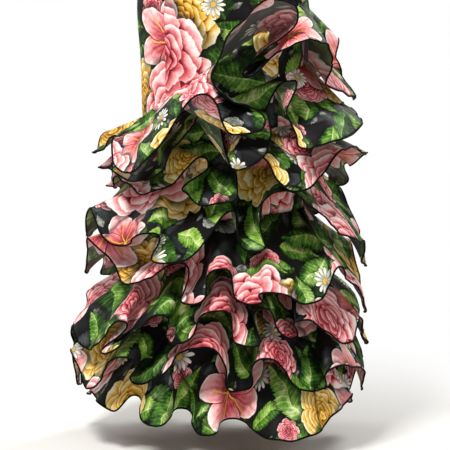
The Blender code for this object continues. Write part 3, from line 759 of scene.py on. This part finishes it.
# The flounces from the lowest to the highest, each clear of the ones below it
def fittedFlounces(down):
    reach = np.zeros((reachMap["turns"], reachMap["levels"]))
    mapDown = np.linspace(0, 1, reachMap["rows"])
    surfaces = {}
    for number in reversed(range(len(flounces))):
        eased = easeMap(reach)
        fine = bowedSurface(number, flounceCut["steps"], down)
        surfaces[number] = fitSurface(number, fine, eased, down)
        coarse = bowedSurface(number, reachMap["steps"], mapDown)
        reach = addToMap(reach, fitSurface(number, coarse, eased, mapDown))
    return surfaces


# A flounce's half laid flat: a sector of a ring, whose inner edge is the seam
def flatFlounce(points):
    along, down = lengths(points, 1), lengths(points, 0)
    seam, edge, depth = along[0, -1], along[-1, -1], down[-1].mean()
    inner = seam * depth / (edge - seam)
    turn = (along[-1] - edge / 2) / (inner + depth)
    radius = inner + down
    flat = np.stack([radius * np.sin(turn), -radius * np.cos(turn)], -1)
    return flat, along, seam, edge, depth


# How much of the ripples an edge keeps: all where it runs straight, little where it turns sharply
def calmAt(normals, along):
    bend = np.linalg.norm(np.gradient(normals, axis=0), axis=1) / np.gradient(along)
    spread = np.hanning(ripples["calmSpread"])
    bend = np.convolve(np.pad(bend, len(spread) // 2, mode="edge"), spread / spread.sum(), mode="valid")
    return 1 / (1 + (bend * ripples["calm"]) ** 2)


# How far the cloth stands off its surface: gathers at the seam and ripples at the edge, sines of
# the length along each, which slower sines keep uneven
def liftOf(along, normals, down):
    seam, edge = along[0], along[-1]
    sway = gathers["sway"] * np.sin(seam * gathers["swayTurns"])
    lift = gathers["depth"] * np.sin(2 * math.pi * seam / gathers["width"] + sway)
    lift = lift * np.exp(-((down / gathers["reach"]) ** 2)) * np.clip(down / gathers["start"], 0, 1)
    calm = calmAt(normals[-1], edge)
    for length, height, growth in ripples["waves"]:
        sway = ripples["sway"] * np.sin(edge * ripples["swayTurns"] / length)
        wave = ripples["raised"] + np.sin(2 * math.pi * edge / length + sway)
        lift = lift + height * wave * calm * down**growth
    return lift


# A flounce's front or back half, its ends drawn in by the seam's gap, and its rolled hem
def flounceHalf(number, side, points, normals, materials, hemMaterial):
    for end, inward in ((0, 1), (-1, -2)):
        points[:, end] += unit(points[:, inward] - points[:, end]) * cloth["seamGap"]
    flat, along, seam, edge, depth = flatFlounce(points)
    down = np.linspace(0, 1, len(points))[:, None]
    points = points + normals * liftOf(along, normals, down)[..., None]
    shift = creaseShift["flounce"] * number + (creaseShift["back"] if side == "back" else 0)
    creases = [((c[0] + shift) % 1, *c[1:]) for c in flounceCreases]
    points = creased(points, normals, along[-1] / edge, down, creases)
    name = f"flounce_{number + 1}_{side}"
    up, turn = flounceLayout[side]
    place = (flounceLayout["across"] * number, up, flounceLayout["turn"] * number + turn)
    piece = shell("cloth_" + name, points, normals, laidOut(flat, place), materials)
    rim = points[-1] - normals[-1] * cloth["thickness"] / 2
    radius, sides = flounceCut["hemRadius"], flounceCut["hemSides"]
    hem = bead("hem_" + name, rim, normals[-1], radius, sides, hemMaterial)
    ridden(piece, name)
    ridden(hem)


# Each flounce's closed surface, with its normals, cut into its two halves
def makeFlounces(materials, hemMaterial):
    down = np.linspace(0, 1, flounceCut["rows"])
    for number, surface in fittedFlounces(down).items():
        middle = (len(flounces[number]["folds"]) - 1) * flounceCut["steps"]
        closed = np.concatenate([surface[:, -1:], surface, surface[:, :2]], 1)
        normals = gridNormals(closed)[:, 1:-1]
        closed = closed[:, 1:-1]
        for side, columns in (("front", slice(0, middle + 1)), ("back", slice(middle, None))):
            flounceHalf(number, side, closed[:, columns].copy(), normals[:, columns], materials, hemMaterial)


# The print's colours, as sRGB hex from the darkest tone to the lightest
printColours = {
    "ground": ["0b0b0c", "141416", "1e1f21"],
    "shadowLeaf": ["141618", "2b3033", "4c5353"],
    "sprig": ["3a3f3d", "7d827a", "b9bab0"],
    "leaf": ["0c1707", "203f12", "47792a", "83ab4a", "d3dfa4"],
    "darkLeaf": ["081006", "162d10", "315722", "5c8a3c", "a8c483"],
    "brightLeaf": ["13240b", "356019", "6c9d36", "a3c45c", "e0e8ae"],
    "pink": ["6a1424", "bf4853", "e4868b", "f5bebe", "feefec"],
    "rose": ["560d1b", "a5313f", "d4626c", "eda0a4", "f9d4d2"],
    "yellow": ["6e430c", "bf8524", "e5b648", "f5d683", "fdf4d2"],
    "white": ["4d5a4a", "98a096", "cfcdc2", "f0ece0", "fdfbf6"],
    "stamen": ["8a4a12", "e3b23c", "f8e08a"],
}

# Layers of the print from the bottom to the top: motif, colours, cell and size, share of the
# cells that hold one, how far a motif strays from its cell's middle, and a shift in cells
printLayers = [
    ("leaf", "shadowLeaf", 0.105, 0.058, 0.90, 0.50, (3.1, 7.7)),
    ("leaf", "sprig", 0.052, 0.014, 0.65, 0.60, (9.4, 5.5)),
    ("bloom", "sprig", 0.110, 0.020, 0.40, 0.60, (4.1, 3.8)),
    ("leaf", "darkLeaf", 0.128, 0.076, 0.74, 0.50, (0.3, 0.9)),
    ("leaf", "leaf", 0.112, 0.062, 0.72, 0.50, (5.2, 2.4)),
    ("bloom", "rose", 0.150, 0.028, 0.45, 0.50, (3.3, 1.2)),
    ("daisy", "white", 0.170, 0.034, 0.55, 0.55, (2.6, 4.3)),
    ("leaf", "brightLeaf", 0.118, 0.056, 0.62, 0.50, (8.8, 1.7)),
    ("leaf", "leaf", 0.150, 0.074, 0.60, 0.50, (1.9, 9.3)),
    ("bloom", "yellow", 0.230, 0.080, 0.74, 0.45, (1.4, 6.6)),
    ("bloom", "rose", 0.250, 0.062, 0.48, 0.45, (7.5, 3.2)),
    ("lily", "pink", 0.270, 0.088, 0.66, 0.45, (4.7, 8.1)),
    ("bloom", "pink", 0.330, 0.108, 0.76, 0.40, (0.35, 0.10)),
    ("leaf", "leaf", 0.260, 0.050, 0.55, 0.60, (6.7, 6.2)),
    ("daisy", "white", 0.220, 0.024, 0.55, 0.60, (6.1, 0.6)),
]

layering = {
    "divided": (1.15, 0.90),  # what a motif's size is divided by, at most and at least
    "shade": (0.20, 0.75, "0a0a0b"),  # the dark round a motif: how far out, how strong, its colour
    "haze": (9.0, 3.0, 0.6),  # the ground's mottling: scale, detail and roughness of its noise
    "hazeRange": (0.35, 0.75),
    "nudge": 1e-7,  # far too small to see
}

# A seed picks a slice of the noise. Bends and finer streaks have their own detail and roughness
motifNoise = {"slice": 40.0, "bends": (3.0, 0.55), "finer": 3.0, "streaks": (4.0, 0.62)}

# Every motif is drawn with its middle at 0 and a reach of 1, and these are shares of that
bloom = {
    "bend": 0.42,  # how far noise bends its outline
    "noise": 1.9,  # the noise's scale
    # from the outside in: reach, petals and lightness at the rim
    "rings": [
        (1.00, 7, 0.66),
        (0.86, 6, 0.62),
        (0.70, 6, 0.60),
        (0.54, 5, 0.52),
        (0.40, 5, 0.44),
        (0.27, 4, 0.36),
        (0.15, 3, 0.30),
    ],
    "ringTurn": (1.7, 0.9, 0.37),  # by the seed, by the seed and ring, by the ring
    "notch": (3.5, 0.20),  # how sharp and how deep the rim's notches are
    "soft": 0.02,  # of a petal's edge
    "depth": (0.12, 0.16, 0.42),  # a petal's shading: least width, width by reach, strength
    "between": 0.16,  # darker between petals
    "rim": (0.045, 0.14),  # width and strength of the pale rim
    "streaks": 0.86,
    "shade": (0.18, 0.42),  # of a ring on the one under it: reach and strength
}
lily = {
    "bend": 0.22,
    "noise": 1.9,
    "petal": (1.7, 1.25),  # how it narrows, and how deep the gaps between petals go
    "soft": 0.02,
    "throat": (0.05, 0.80, 0.02, 0.80),  # from and to what radius it goes from what tone to what
    "rim": (0.10, 0.28),
    "rib": (0.10, 0.22),
    "veins": (26.0, 0.05),  # how many, and how strong
    "streaks": 0.9,
    "shade": (0.12, 0.45),
    "stamens": 7,
    "curl": 0.5,  # radians
    "thread": (0.022, 0.036, 0.56),  # where its side starts and ends to fade, and its length
    "anther": (0.57, 0.0022, 0.0034),  # its radius, and where it starts and ends to fade, squared
}
daisy = {
    "bend": 0.16,
    "noise": 1.7,
    "petals": 12,
    "notch": (2.0, 0.62),
    "soft": 0.05,
    "light": (0.22, 0.75, 0.30, 0.95),  # like the lily's throat
    "between": 0.30,
    "streaks": 0.4,
    "disc": (0.20, 0.24),  # where the yellow starts and ends to fade
}
leaf = {
    "bend": (0.3, 0.5),
    "noise": (1.4, 2.0, 0.5),  # scale, detail and roughness
    "teeth": (7.0, 3.0, 0.16, 0.90),  # how many, how far they lean forward, depth, least width
    "wide": (0.46, 0.20),  # half its width, and how much narrower it gets towards the tip
    "soft": 0.025,
    "rib": (0.035, 0.34),  # how wide and how pale
    "vein": (0.36, 0.22),  # where between two veins it starts, and its strength
    "half": (0.05, 0.15),  # how soft and how strong the step between its halves is
    "light": (0.4, 0.30, 0.52),  # how far in it goes from what tone to what
    "own": (0.30, 0.10),  # how much leaves differ, and how much darker they are
    "patches": (2.6, 4.0, 0.65),
    "patchLight": (1.9, -0.98),  # their strength, and what is taken off
}

smooth = {"interpolation_type": "SMOOTHSTEP"}  # a range with soft ends


# From an sRGB hex string to linear light
def linear(hexColour):
    parts = [int(hexColour[i : i + 2], 16) / 255 for i in (0, 2, 4)]
    return (*[c / 12.92 if c <= 0.04045 else ((c + 0.055) / 1.055) ** 2.4 for c in parts], 1)


# Adds a node and gives its first output. Its kind may end in its operation, and the inputs that
# its settings leave on are given in order
def addNode(tree, kind, *values, **settings):
    kind, _, operation = kind.partition(".")
    made = tree.nodes.new("ShaderNode" + kind)
    if operation:
        made.operation = operation
    for name, value in settings.items():
        setattr(made, name, value)
    for socket, value in zip([s for s in made.inputs if s.enabled], values):
        if isinstance(value, bpy.types.NodeSocket):
            tree.links.new(value, socket)
        elif value is not None:
            socket.default_value = value
    return [s for s in made.outputs if s.enabled][0]


# A node group, with the sockets that it is given and the node that takes its results
def newGroup(name, takes, gives):
    tree = bpy.data.node_groups.new(name, "ShaderNodeTree")
    for way, sockets in (("INPUT", takes), ("OUTPUT", gives)):
        for socket, kind in sockets.items():
            tree.interface.new_socket(socket, in_out=way, socket_type="NodeSocket" + kind)
    given = tree.nodes.new("NodeGroupInput")
    return tree, [given.outputs[s] for s in takes], tree.nodes.new("NodeGroupOutput")


# A motif's group gives its tone, its cover and how far inside its outline a point is, and for a
# flower with a yellow middle also where that is
def motifGroup(name, draw, yellow=False):
    takes = {"Place": "Vector", "Seed": "Float"}
    gives = dict.fromkeys(["Tone", "Cover", "Inside"] + ["Stamen"] * yellow, "Float")
    tree, (place, seed), result = newGroup(name, takes, gives)
    for socket, value in zip(result.inputs, draw(partial(addNode, tree), place, seed)):
        tree.links.new(value, socket)
    return tree


# Bends a motif's place by noise, then gives its radius, its angle and streaks across it
def polar(node, place, seed, bend, scale):
    far = node("Math.MULTIPLY", seed, motifNoise["slice"])
    noise = node("TexNoise", place, far, scale, *motifNoise["bends"], noise_dimensions="4D")
    shift = ((bend, bend, 0), (-bend / 2, -bend / 2, 0))
    shift = node("VectorMath.MULTIPLY_ADD", noise.node.outputs["Color"], *shift)
    bent = node("VectorMath.ADD", place, shift)
    radius = node("VectorMath.LENGTH", bent)
    x = node("SeparateXYZ", bent)
    angle = node("Math.ARCTAN2", x.node.outputs[1], x)
    scale = scale * motifNoise["finer"]
    streaks = node("TexNoise", place, far, scale, *motifNoise["streaks"], noise_dimensions="4D")
    return radius, angle, streaks


# How far a point is from the middle of its petal, 0 there and 1 between two petals
def besidePetal(node, angle, turn, petals):
    turns = node("Math.MULTIPLY_ADD", angle, petals / 2 / math.pi, turn)
    return node("Math.ABSOLUTE", node("Math.MULTIPLY_ADD", node("Math.FRACT", turns), 2.0, -1.0))


# A full flower: rings of petals, each smaller than the one under it and shading it round its rim.
# A petal is light at its rim and darker the further it goes under the next
def drawBloom(node, place, seed):
    radius, angle, streaks = polar(node, place, seed, bloom["bend"], bloom["noise"])
    (sharp, notch), (least, byReach, strength) = bloom["notch"], bloom["depth"]
    (rimWidth, rimLight), (shadeReach, shadeDepth) = bloom["rim"], bloom["shade"]
    bySeed, byBoth, byRing = bloom["ringTurn"]
    tone, cover = None, None
    for ring, (reach, petals, light) in enumerate(bloom["rings"]):
        turn = node("Math.MULTIPLY_ADD", seed, bySeed + ring * byBoth, ring * byRing)
        beside = node("Math.POWER", besidePetal(node, angle, turn, petals), sharp)
        inside = node("Math.SUBTRACT", node("Math.MULTIPLY_ADD", beside, -notch * reach, reach), radius)
        onRing = node("MapRange", inside, 0.0, bloom["soft"], 0.0, 1.0, **smooth)
        fall = node("MapRange", inside, 0.0, least + byReach * reach, light, light - strength)
        fall = node("Math.MULTIPLY_ADD", beside, -bloom["between"], fall)
        fall = node("Math.ADD", fall, node("MapRange", inside, 0.0, rimWidth, rimLight, 0.0))
        fall = node("Math.MULTIPLY_ADD", streaks, bloom["streaks"], fall)
        if tone is None:
            tone, cover, outer = fall, onRing, inside
            continue
        shade = node("MapRange", inside, -shadeReach, 0.0, 0.0, shadeDepth, **smooth)
        tone = node("Mix", onRing, node("Math.SUBTRACT", tone, shade), fall)
    return tone, cover, outer


# An open flower: two rings of three pointed petals with a dark throat, a pale rim and veins, and
# curling stamens that end in anthers
def drawLily(node, place, seed):
    radius, angle, streaks = polar(node, place, seed, lily["bend"], lily["noise"])
    (narrowing, gap), (rimWidth, rimLight), (ribWidth, ribDark) = lily["petal"], lily["rim"], lily["rib"]
    (veins, veinLight), (shadeReach, shadeDepth), contrast = lily["veins"], lily["shade"], lily["streaks"]
    tone, cover = None, None
    for turn in (0.0, 0.5):
        beside = besidePetal(node, angle, node("Math.ADD", seed, turn), 3)
        narrow = node("Math.POWER", beside, narrowing)
        inside = node("Math.SUBTRACT", node("Math.MULTIPLY_ADD", narrow, -gap, 1.0), radius)
        onPetal = node("MapRange", inside, 0.0, lily["soft"], 0.0, 1.0, **smooth)
        light = node("MapRange", radius, *lily["throat"])
        light = node("Math.ADD", light, node("MapRange", inside, 0.0, rimWidth, rimLight, 0.0))
        rib = node("MapRange", beside, 0.0, ribWidth, -ribDark, 0.0)
        vein = node("Math.SINE", node("Math.MULTIPLY", beside, veins))
        vein = node("Math.MULTIPLY_ADD", vein, veinLight, rib)
        light = node("Math.ADD", light, vein)
        light = node("Math.ADD", light, node("Math.MULTIPLY_ADD", streaks, contrast, -contrast / 2))
        if tone is None:
            tone, cover, outer = light, onPetal, inside
            continue
        shade = node("MapRange", inside, -shadeReach, 0.0, 0.0, shadeDepth, **smooth)
        tone = node("Mix", onPetal, node("Math.SUBTRACT", tone, shade), light)
        cover = node("Math.MAXIMUM", cover, onPetal)
        outer = node("Math.MAXIMUM", outer, inside)
    curl = node("Math.MULTIPLY_ADD", radius, lily["curl"], angle)
    across = node("Math.MULTIPLY", besidePetal(node, curl, seed, lily["stamens"]), radius)
    fadeFrom, fadeTo, length = lily["thread"]
    thread = node("MapRange", across, fadeFrom, fadeTo, 1.0, 0.0)
    thread = node("Math.MULTIPLY", thread, node("Math.LESS_THAN", radius, length))
    anther, fadeFrom, fadeTo = lily["anther"]
    tip = node("Math.SUBTRACT", radius, anther)
    tip = node("Math.ADD", node("Math.MULTIPLY", tip, tip), node("Math.MULTIPLY", across, across))
    stamen = node("Math.MAXIMUM", thread, node("MapRange", tip, fadeFrom, fadeTo, 1.0, 0.0))
    return tone, cover, outer, stamen


# A small flower: narrow petals round a raised disc
def drawDaisy(node, place, seed):
    radius, angle, streaks = polar(node, place, seed, daisy["bend"], daisy["noise"])
    (sharp, notch), contrast = daisy["notch"], daisy["streaks"]
    beside = besidePetal(node, angle, seed, daisy["petals"])
    rim = node("Math.MULTIPLY_ADD", node("Math.POWER", beside, sharp), -notch, 1.0)
    inside = node("Math.SUBTRACT", rim, radius)
    cover = node("MapRange", inside, 0.0, daisy["soft"], 0.0, 1.0, **smooth)
    light = node("MapRange", radius, *daisy["light"])
    light = node("Math.MULTIPLY_ADD", beside, -daisy["between"], light)
    light = node("Math.ADD", light, node("Math.MULTIPLY_ADD", streaks, contrast, -contrast / 2))
    return light, cover, inside, node("MapRange", radius, *daisy["disc"], 1.0, 0.0)


# A leaf from (-1, 0) to (1, 0): a pointed oval with toothed sides, a pale rib, side veins that
# run forward from it and one half darker than the other
def drawLeaf(node, place, seed):
    far = node("Math.MULTIPLY", seed, motifNoise["slice"])
    noise = node("TexNoise", place, far, *leaf["noise"], noise_dimensions="4D")
    (bendX, bendY), (wide, taper) = leaf["bend"], leaf["wide"]
    teethCount, lean, toothDepth, least = leaf["teeth"]
    shift = ((bendX, bendY, 0), (-bendX / 2, -bendY / 2, 0))
    shift = node("VectorMath.MULTIPLY_ADD", noise.node.outputs["Color"], *shift)
    bent = node("VectorMath.ADD", place, shift)
    x = node("SeparateXYZ", bent)
    y = x.node.outputs[1]
    side = node("Math.ABSOLUTE", y)
    teeth = node("Math.MULTIPLY_ADD", side, -lean, node("Math.MULTIPLY", x, teethCount))
    teeth = node("Math.FRACT", teeth)
    oval = node("Math.MULTIPLY_ADD", node("Math.MULTIPLY", x, x), -1.0, 1.0)
    oval = node("Math.MULTIPLY", node("Math.MAXIMUM", oval, 0.0), node("Math.MULTIPLY_ADD", x, -taper, wide))
    oval = node("Math.MULTIPLY", oval, node("Math.MULTIPLY_ADD", teeth, toothDepth, least))
    inside = node("Math.SUBTRACT", oval, side)
    cover = node("MapRange", inside, 0.0, leaf["soft"], 0.0, 1.0, **smooth)
    rib = node("MapRange", side, 0.0, leaf["rib"][0], leaf["rib"][1], 0.0)
    vein = node("Math.ABSOLUTE", node("Math.SUBTRACT", teeth, 0.5))
    vein = node("MapRange", vein, leaf["vein"][0], 0.5, 0.0, leaf["vein"][1], **smooth)
    soft, step = leaf["half"]
    half = node("MapRange", y, -soft, soft, -step, step)
    light = node("MapRange", inside, 0.0, *leaf["light"])
    patches = node("TexNoise", bent, far, *leaf["patches"], noise_dimensions="4D")
    own = node("Math.MULTIPLY_ADD", seed, leaf["own"][0], -leaf["own"][1])
    for part in (rib, vein, half, own, node("Math.MULTIPLY_ADD", patches, *leaf["patchLight"])):
        light = node("Math.ADD", light, part)
    return light, cover, inside


# Colours from dark to light over a tone of 0 to 1, evenly spaced
def ramp(node, tone, colours):
    made = node("ValToRGB", tone).node
    stops = made.color_ramp.elements
    while len(stops) < len(colours):
        stops.new(0.5)
    for k, (stop, colour) in enumerate(zip(stops, colours)):
        stop.position = k / (len(colours) - 1)
        stop.color = linear(colour)
    return made.outputs[0]


# The whole print at a place on the cloth. A layer has a motif in some of its Voronoi cells, turned
# and sized by the cell's own random numbers, and is painted over the layers below it
def printGroup():
    tree, (place,), result = newGroup("floral print", {"Place": "Vector"}, {"Colour": "Color"})
    node = partial(addNode, tree)
    motifs = {
        "bloom": motifGroup("bloom", drawBloom),
        "lily": motifGroup("lily", drawLily, True),
        "daisy": motifGroup("daisy", drawDaisy, True),
        "leaf": motifGroup("leaf", drawLeaf),
    }
    nudge, (most, least) = layering["nudge"], layering["divided"]
    shadeReach, shadeDepth, dark = layering["shade"]
    haze = node("TexNoise", place, *layering["haze"], noise_dimensions="2D")
    colour = ramp(node, node("MapRange", haze, *layering["hazeRange"]), printColours["ground"])
    for motif, colours, cell, size, fill, stray, shift in printLayers:
        # Its place depends a little on the colour below, so Cycles finishes one layer before the next
        nudged = node("VectorMath.MULTIPLY_ADD", colour, (nudge, nudge, 0), place)
        cells = node("VectorMath.MULTIPLY_ADD", nudged, (1 / cell, 1 / cell, 0), (*shift, 0))
        found = node("TexVoronoi", cells, 1.0, None, None, None, stray, voronoi_dimensions="2D").node
        chance = node("SeparateColor", found.outputs["Color"])
        local = node("VectorMath.SUBTRACT", cells, found.outputs["Position"])
        stretch = node("MapRange", chance.node.outputs[1], 0.0, 1.0, cell / size * most, cell / size * least)
        local = node("VectorMath.SCALE", local, stretch)
        turn = node("Math.MULTIPLY", chance, 2 * math.pi)
        local = node("VectorRotate", local, (0, 0, 0), turn, rotation_type="Z_AXIS")
        drawn = node("Group", local, chance, node_tree=motifs[motif]).node
        held = node("Math.LESS_THAN", chance.node.outputs[2], fill)
        cover = node("Math.MULTIPLY", drawn.outputs["Cover"], held)
        shade = node("MapRange", drawn.outputs["Inside"], -shadeReach, 0.0, 0.0, shadeDepth, **smooth)
        shade = node("Math.MULTIPLY", shade, held)
        colour = node("Mix", shade, colour, linear(dark), data_type="RGBA")
        painted = ramp(node, drawn.outputs["Tone"], printColours[colours])
        colour = node("Mix", cover, colour, painted, data_type="RGBA")
        if "Stamen" in drawn.outputs:
            stamen = node("Math.MULTIPLY", drawn.outputs["Stamen"], held)
            yellow = ramp(node, haze, printColours["stamen"])
            colour = node("Mix", stamen, colour, yellow, data_type="RGBA")
    tree.links.new(colour, result.inputs[0])
    return tree


# Cotton sateen with a reactive print: crisp, with a low soft gloss and hardly any nap
sateen = {
    "roughness": 0.66,
    "gloss": 0.14,  # specular level
    "threadPitch": 0.0012,  # real threads are 0.25 mm apart, too fine to show, so these are coarser
    "threadHeight": 0.00004,
    "bump": 0.5,  # strength
    "bumpWidth": 1.0,  # over how many pixels its slope is taken
    "grain": 0.20,  # how much the yarns differ in lightness
    "grainNoise": (700.0, 2.0, 0.5),  # scale, detail and roughness
    "grainRange": (0.3, 0.7),
    "reverseFade": 0.30,  # the reverse is printed through, paler and greyer
    "reverseColour": "8d8a86",
}

# Black overlock thread packed tight over a rolled edge: matt, and too fine to show its strands
overlock = {"colour": "070707", "roughness": 0.85, "gloss": 0.12}


# A material with its own shader, of one colour, roughness and specular level
def newMaterial(name, colour, roughness, gloss):
    material = bpy.data.materials.new(name)
    material.use_nodes = True
    tree = material.node_tree
    shader = tree.nodes["Principled BSDF"]
    if colour:
        shader.inputs["Base Color"].default_value = linear(colour)
    shader.inputs["Roughness"].default_value = roughness
    shader.inputs["Specular IOR Level"].default_value = gloss
    return material, tree, shader


# The print where the cloth is cut, grained by noise, with a plain weave of crossed sines as bump
def clothMaterial(name, reverse, printed):
    material, tree, shader = newMaterial(name, None, sateen["roughness"], sateen["gloss"])
    node = partial(addNode, tree)
    place = node("UVMap", uv_map="cut")
    colour = node("Group", place, node_tree=printed)
    if reverse:
        paler = linear(sateen["reverseColour"])
        colour = node("Mix", sateen["reverseFade"], colour, paler, data_type="RGBA")
    grain = node("TexNoise", place, *sateen["grainNoise"], noise_dimensions="2D")
    grain = node("MapRange", grain, *sateen["grainRange"], 1 - sateen["grain"], 1 + sateen["grain"])
    colour = node("VectorMath.SCALE", colour, grain)
    tree.links.new(colour, shader.inputs["Base Color"])
    pitch = 2 * math.pi / sateen["threadPitch"]
    threads = node("VectorMath.SINE", node("VectorMath.MULTIPLY", place, (pitch, pitch, 0)))
    weave = node("SeparateXYZ", threads)
    weave = node("Math.MULTIPLY", weave, weave.node.outputs[1])
    bump = node("Bump", sateen["bump"], sateen["threadHeight"], sateen["bumpWidth"], weave)
    tree.links.new(bump, shader.inputs["Normal"])
    return material


# The floor fades into a white surround, so that no edge of it shows from any side
room = {
    "floor": -1.50,  # its height
    "rings": [0, 0.5, 1, 2, 4, 40],  # radii
    "spokes": 96,
    "fadeStart": 0.15,  # from the middle
    "fadeEnd": 1.25,
    "paint": {"colour": "f4f3f1", "roughness": 0.95, "gloss": 0.5},
    "surround": "ffffff",
    "skyStrength": 0.20,  # what the surround lights the dress with
}

# Soft boxes: place, what it looks at, width, height and power in watts
lights = {
    "key": ((-0.9, -2.1, 1.9), (0.0, 0.0, -0.9), 0.8, 0.8, 136),
    "fill": ((1.9, -2.6, 0.2), (0.0, 0.0, -0.9), 1.4, 1.4, 20),
    "backLeft": ((1.7, 2.2, 1.1), (0.0, 0.0, -0.8), 1.0, 1.4, 72),
    "backRight": ((-2.2, 1.5, 0.3), (0.0, 0.0, -0.8), 1.0, 1.4, 26),
}
lightColour = "fffdf8"  # a little warm

lens = {
    "place": (0.006, -3.5, -0.70),
    "pitchDown": 6.02,  # degrees
    "focal": 141.5,  # mm
    "sensor": 36,
}


# The camera looks along +Y and a little down
def makeCamera():
    data = bpy.data.cameras.new("camera")
    data.lens = lens["focal"]
    data.sensor_width = lens["sensor"]
    camera = added("camera", data)
    camera.location = lens["place"]
    camera.rotation_euler = (math.radians(90 - lens["pitchDown"]), 0, 0)
    bpy.context.scene.camera = camera


# Soft boxes that light the dress and don't show themselves
def makeLights():
    for name, (place, aim, width, height, power) in lights.items():
        data = bpy.data.lights.new(name, "AREA")
        data.shape = "RECTANGLE"
        data.size, data.size_y, data.energy = width, height, power
        data.color = linear(lightColour)[:3]
        light = added(name, data)
        light.location = place
        light.rotation_euler = (Vector(aim) - Vector(place)).to_track_quat("-Z", "Y").to_euler()
        light.visible_camera = False


# White to the camera, and a weak even light to everything else
def makeSurround():
    world = bpy.data.worlds.new("surround")
    world.use_nodes = True
    tree = world.node_tree
    node = partial(addNode, tree)
    seen = node("LightPath")
    lit = tree.nodes["Background"]
    lit.inputs["Color"].default_value = linear(room["surround"])
    lit.inputs["Strength"].default_value = room["skyStrength"]
    white = node("Background", linear(room["surround"]), 1.0)
    both = node("MixShader", seen, lit.outputs[0], white)
    tree.links.new(both, tree.nodes["World Output"].inputs[0])
    bpy.context.scene.world = world


# Rings round the middle, whose colour turns to the surround's with the distance from there
def makeFloor():
    turn = np.linspace(0, 2 * math.pi, room["spokes"], endpoint=False)
    rings = np.array(room["rings"])[:, None, None] * tangent(turn) + (0, 0, room["floor"])
    index = np.arange(rings.shape[0] * len(turn)).reshape(rings.shape[:2])
    index = np.concatenate([index, index[:, :1]], 1)
    # pale matt paint, with no shine to mirror the hem
    material, tree, shader = newMaterial("matt painted floor", **room["paint"])
    node = partial(addNode, tree)
    away = node("VectorMath.LENGTH", node("TexCoord").node.outputs["Object"])
    away = node("Math.SQRT", node("Math.SUBTRACT", node("Math.MULTIPLY", away, away), room["floor"] ** 2))
    faded = node("MapRange", away, room["fadeStart"], room["fadeEnd"], 0.0, 1.0, **smooth)
    faded = node("Math.MULTIPLY", faded, node("LightPath"))
    white = node("Emission", linear(room["surround"]), 1.0)
    both = node("MixShader", faded, shader.outputs[0], white)
    tree.links.new(both, tree.nodes["Material Output"].inputs["Surface"])
    meshPiece("floor", rings, gridQuads(index), None, [material])


printed = printGroup()
print("print made")
materials = [
    clothMaterial("printed cotton sateen", False, printed),
    clothMaterial("cotton sateen reverse", True, printed),
]
makePanels(materials)
makeFlounces(materials, newMaterial("overlocked cotton thread", **overlock)[0])
makeCamera()
makeLights()
makeSurround()
makeFloor()
bpy.context.scene.view_settings.view_transform = "Standard"  # colours as they are, not compressed
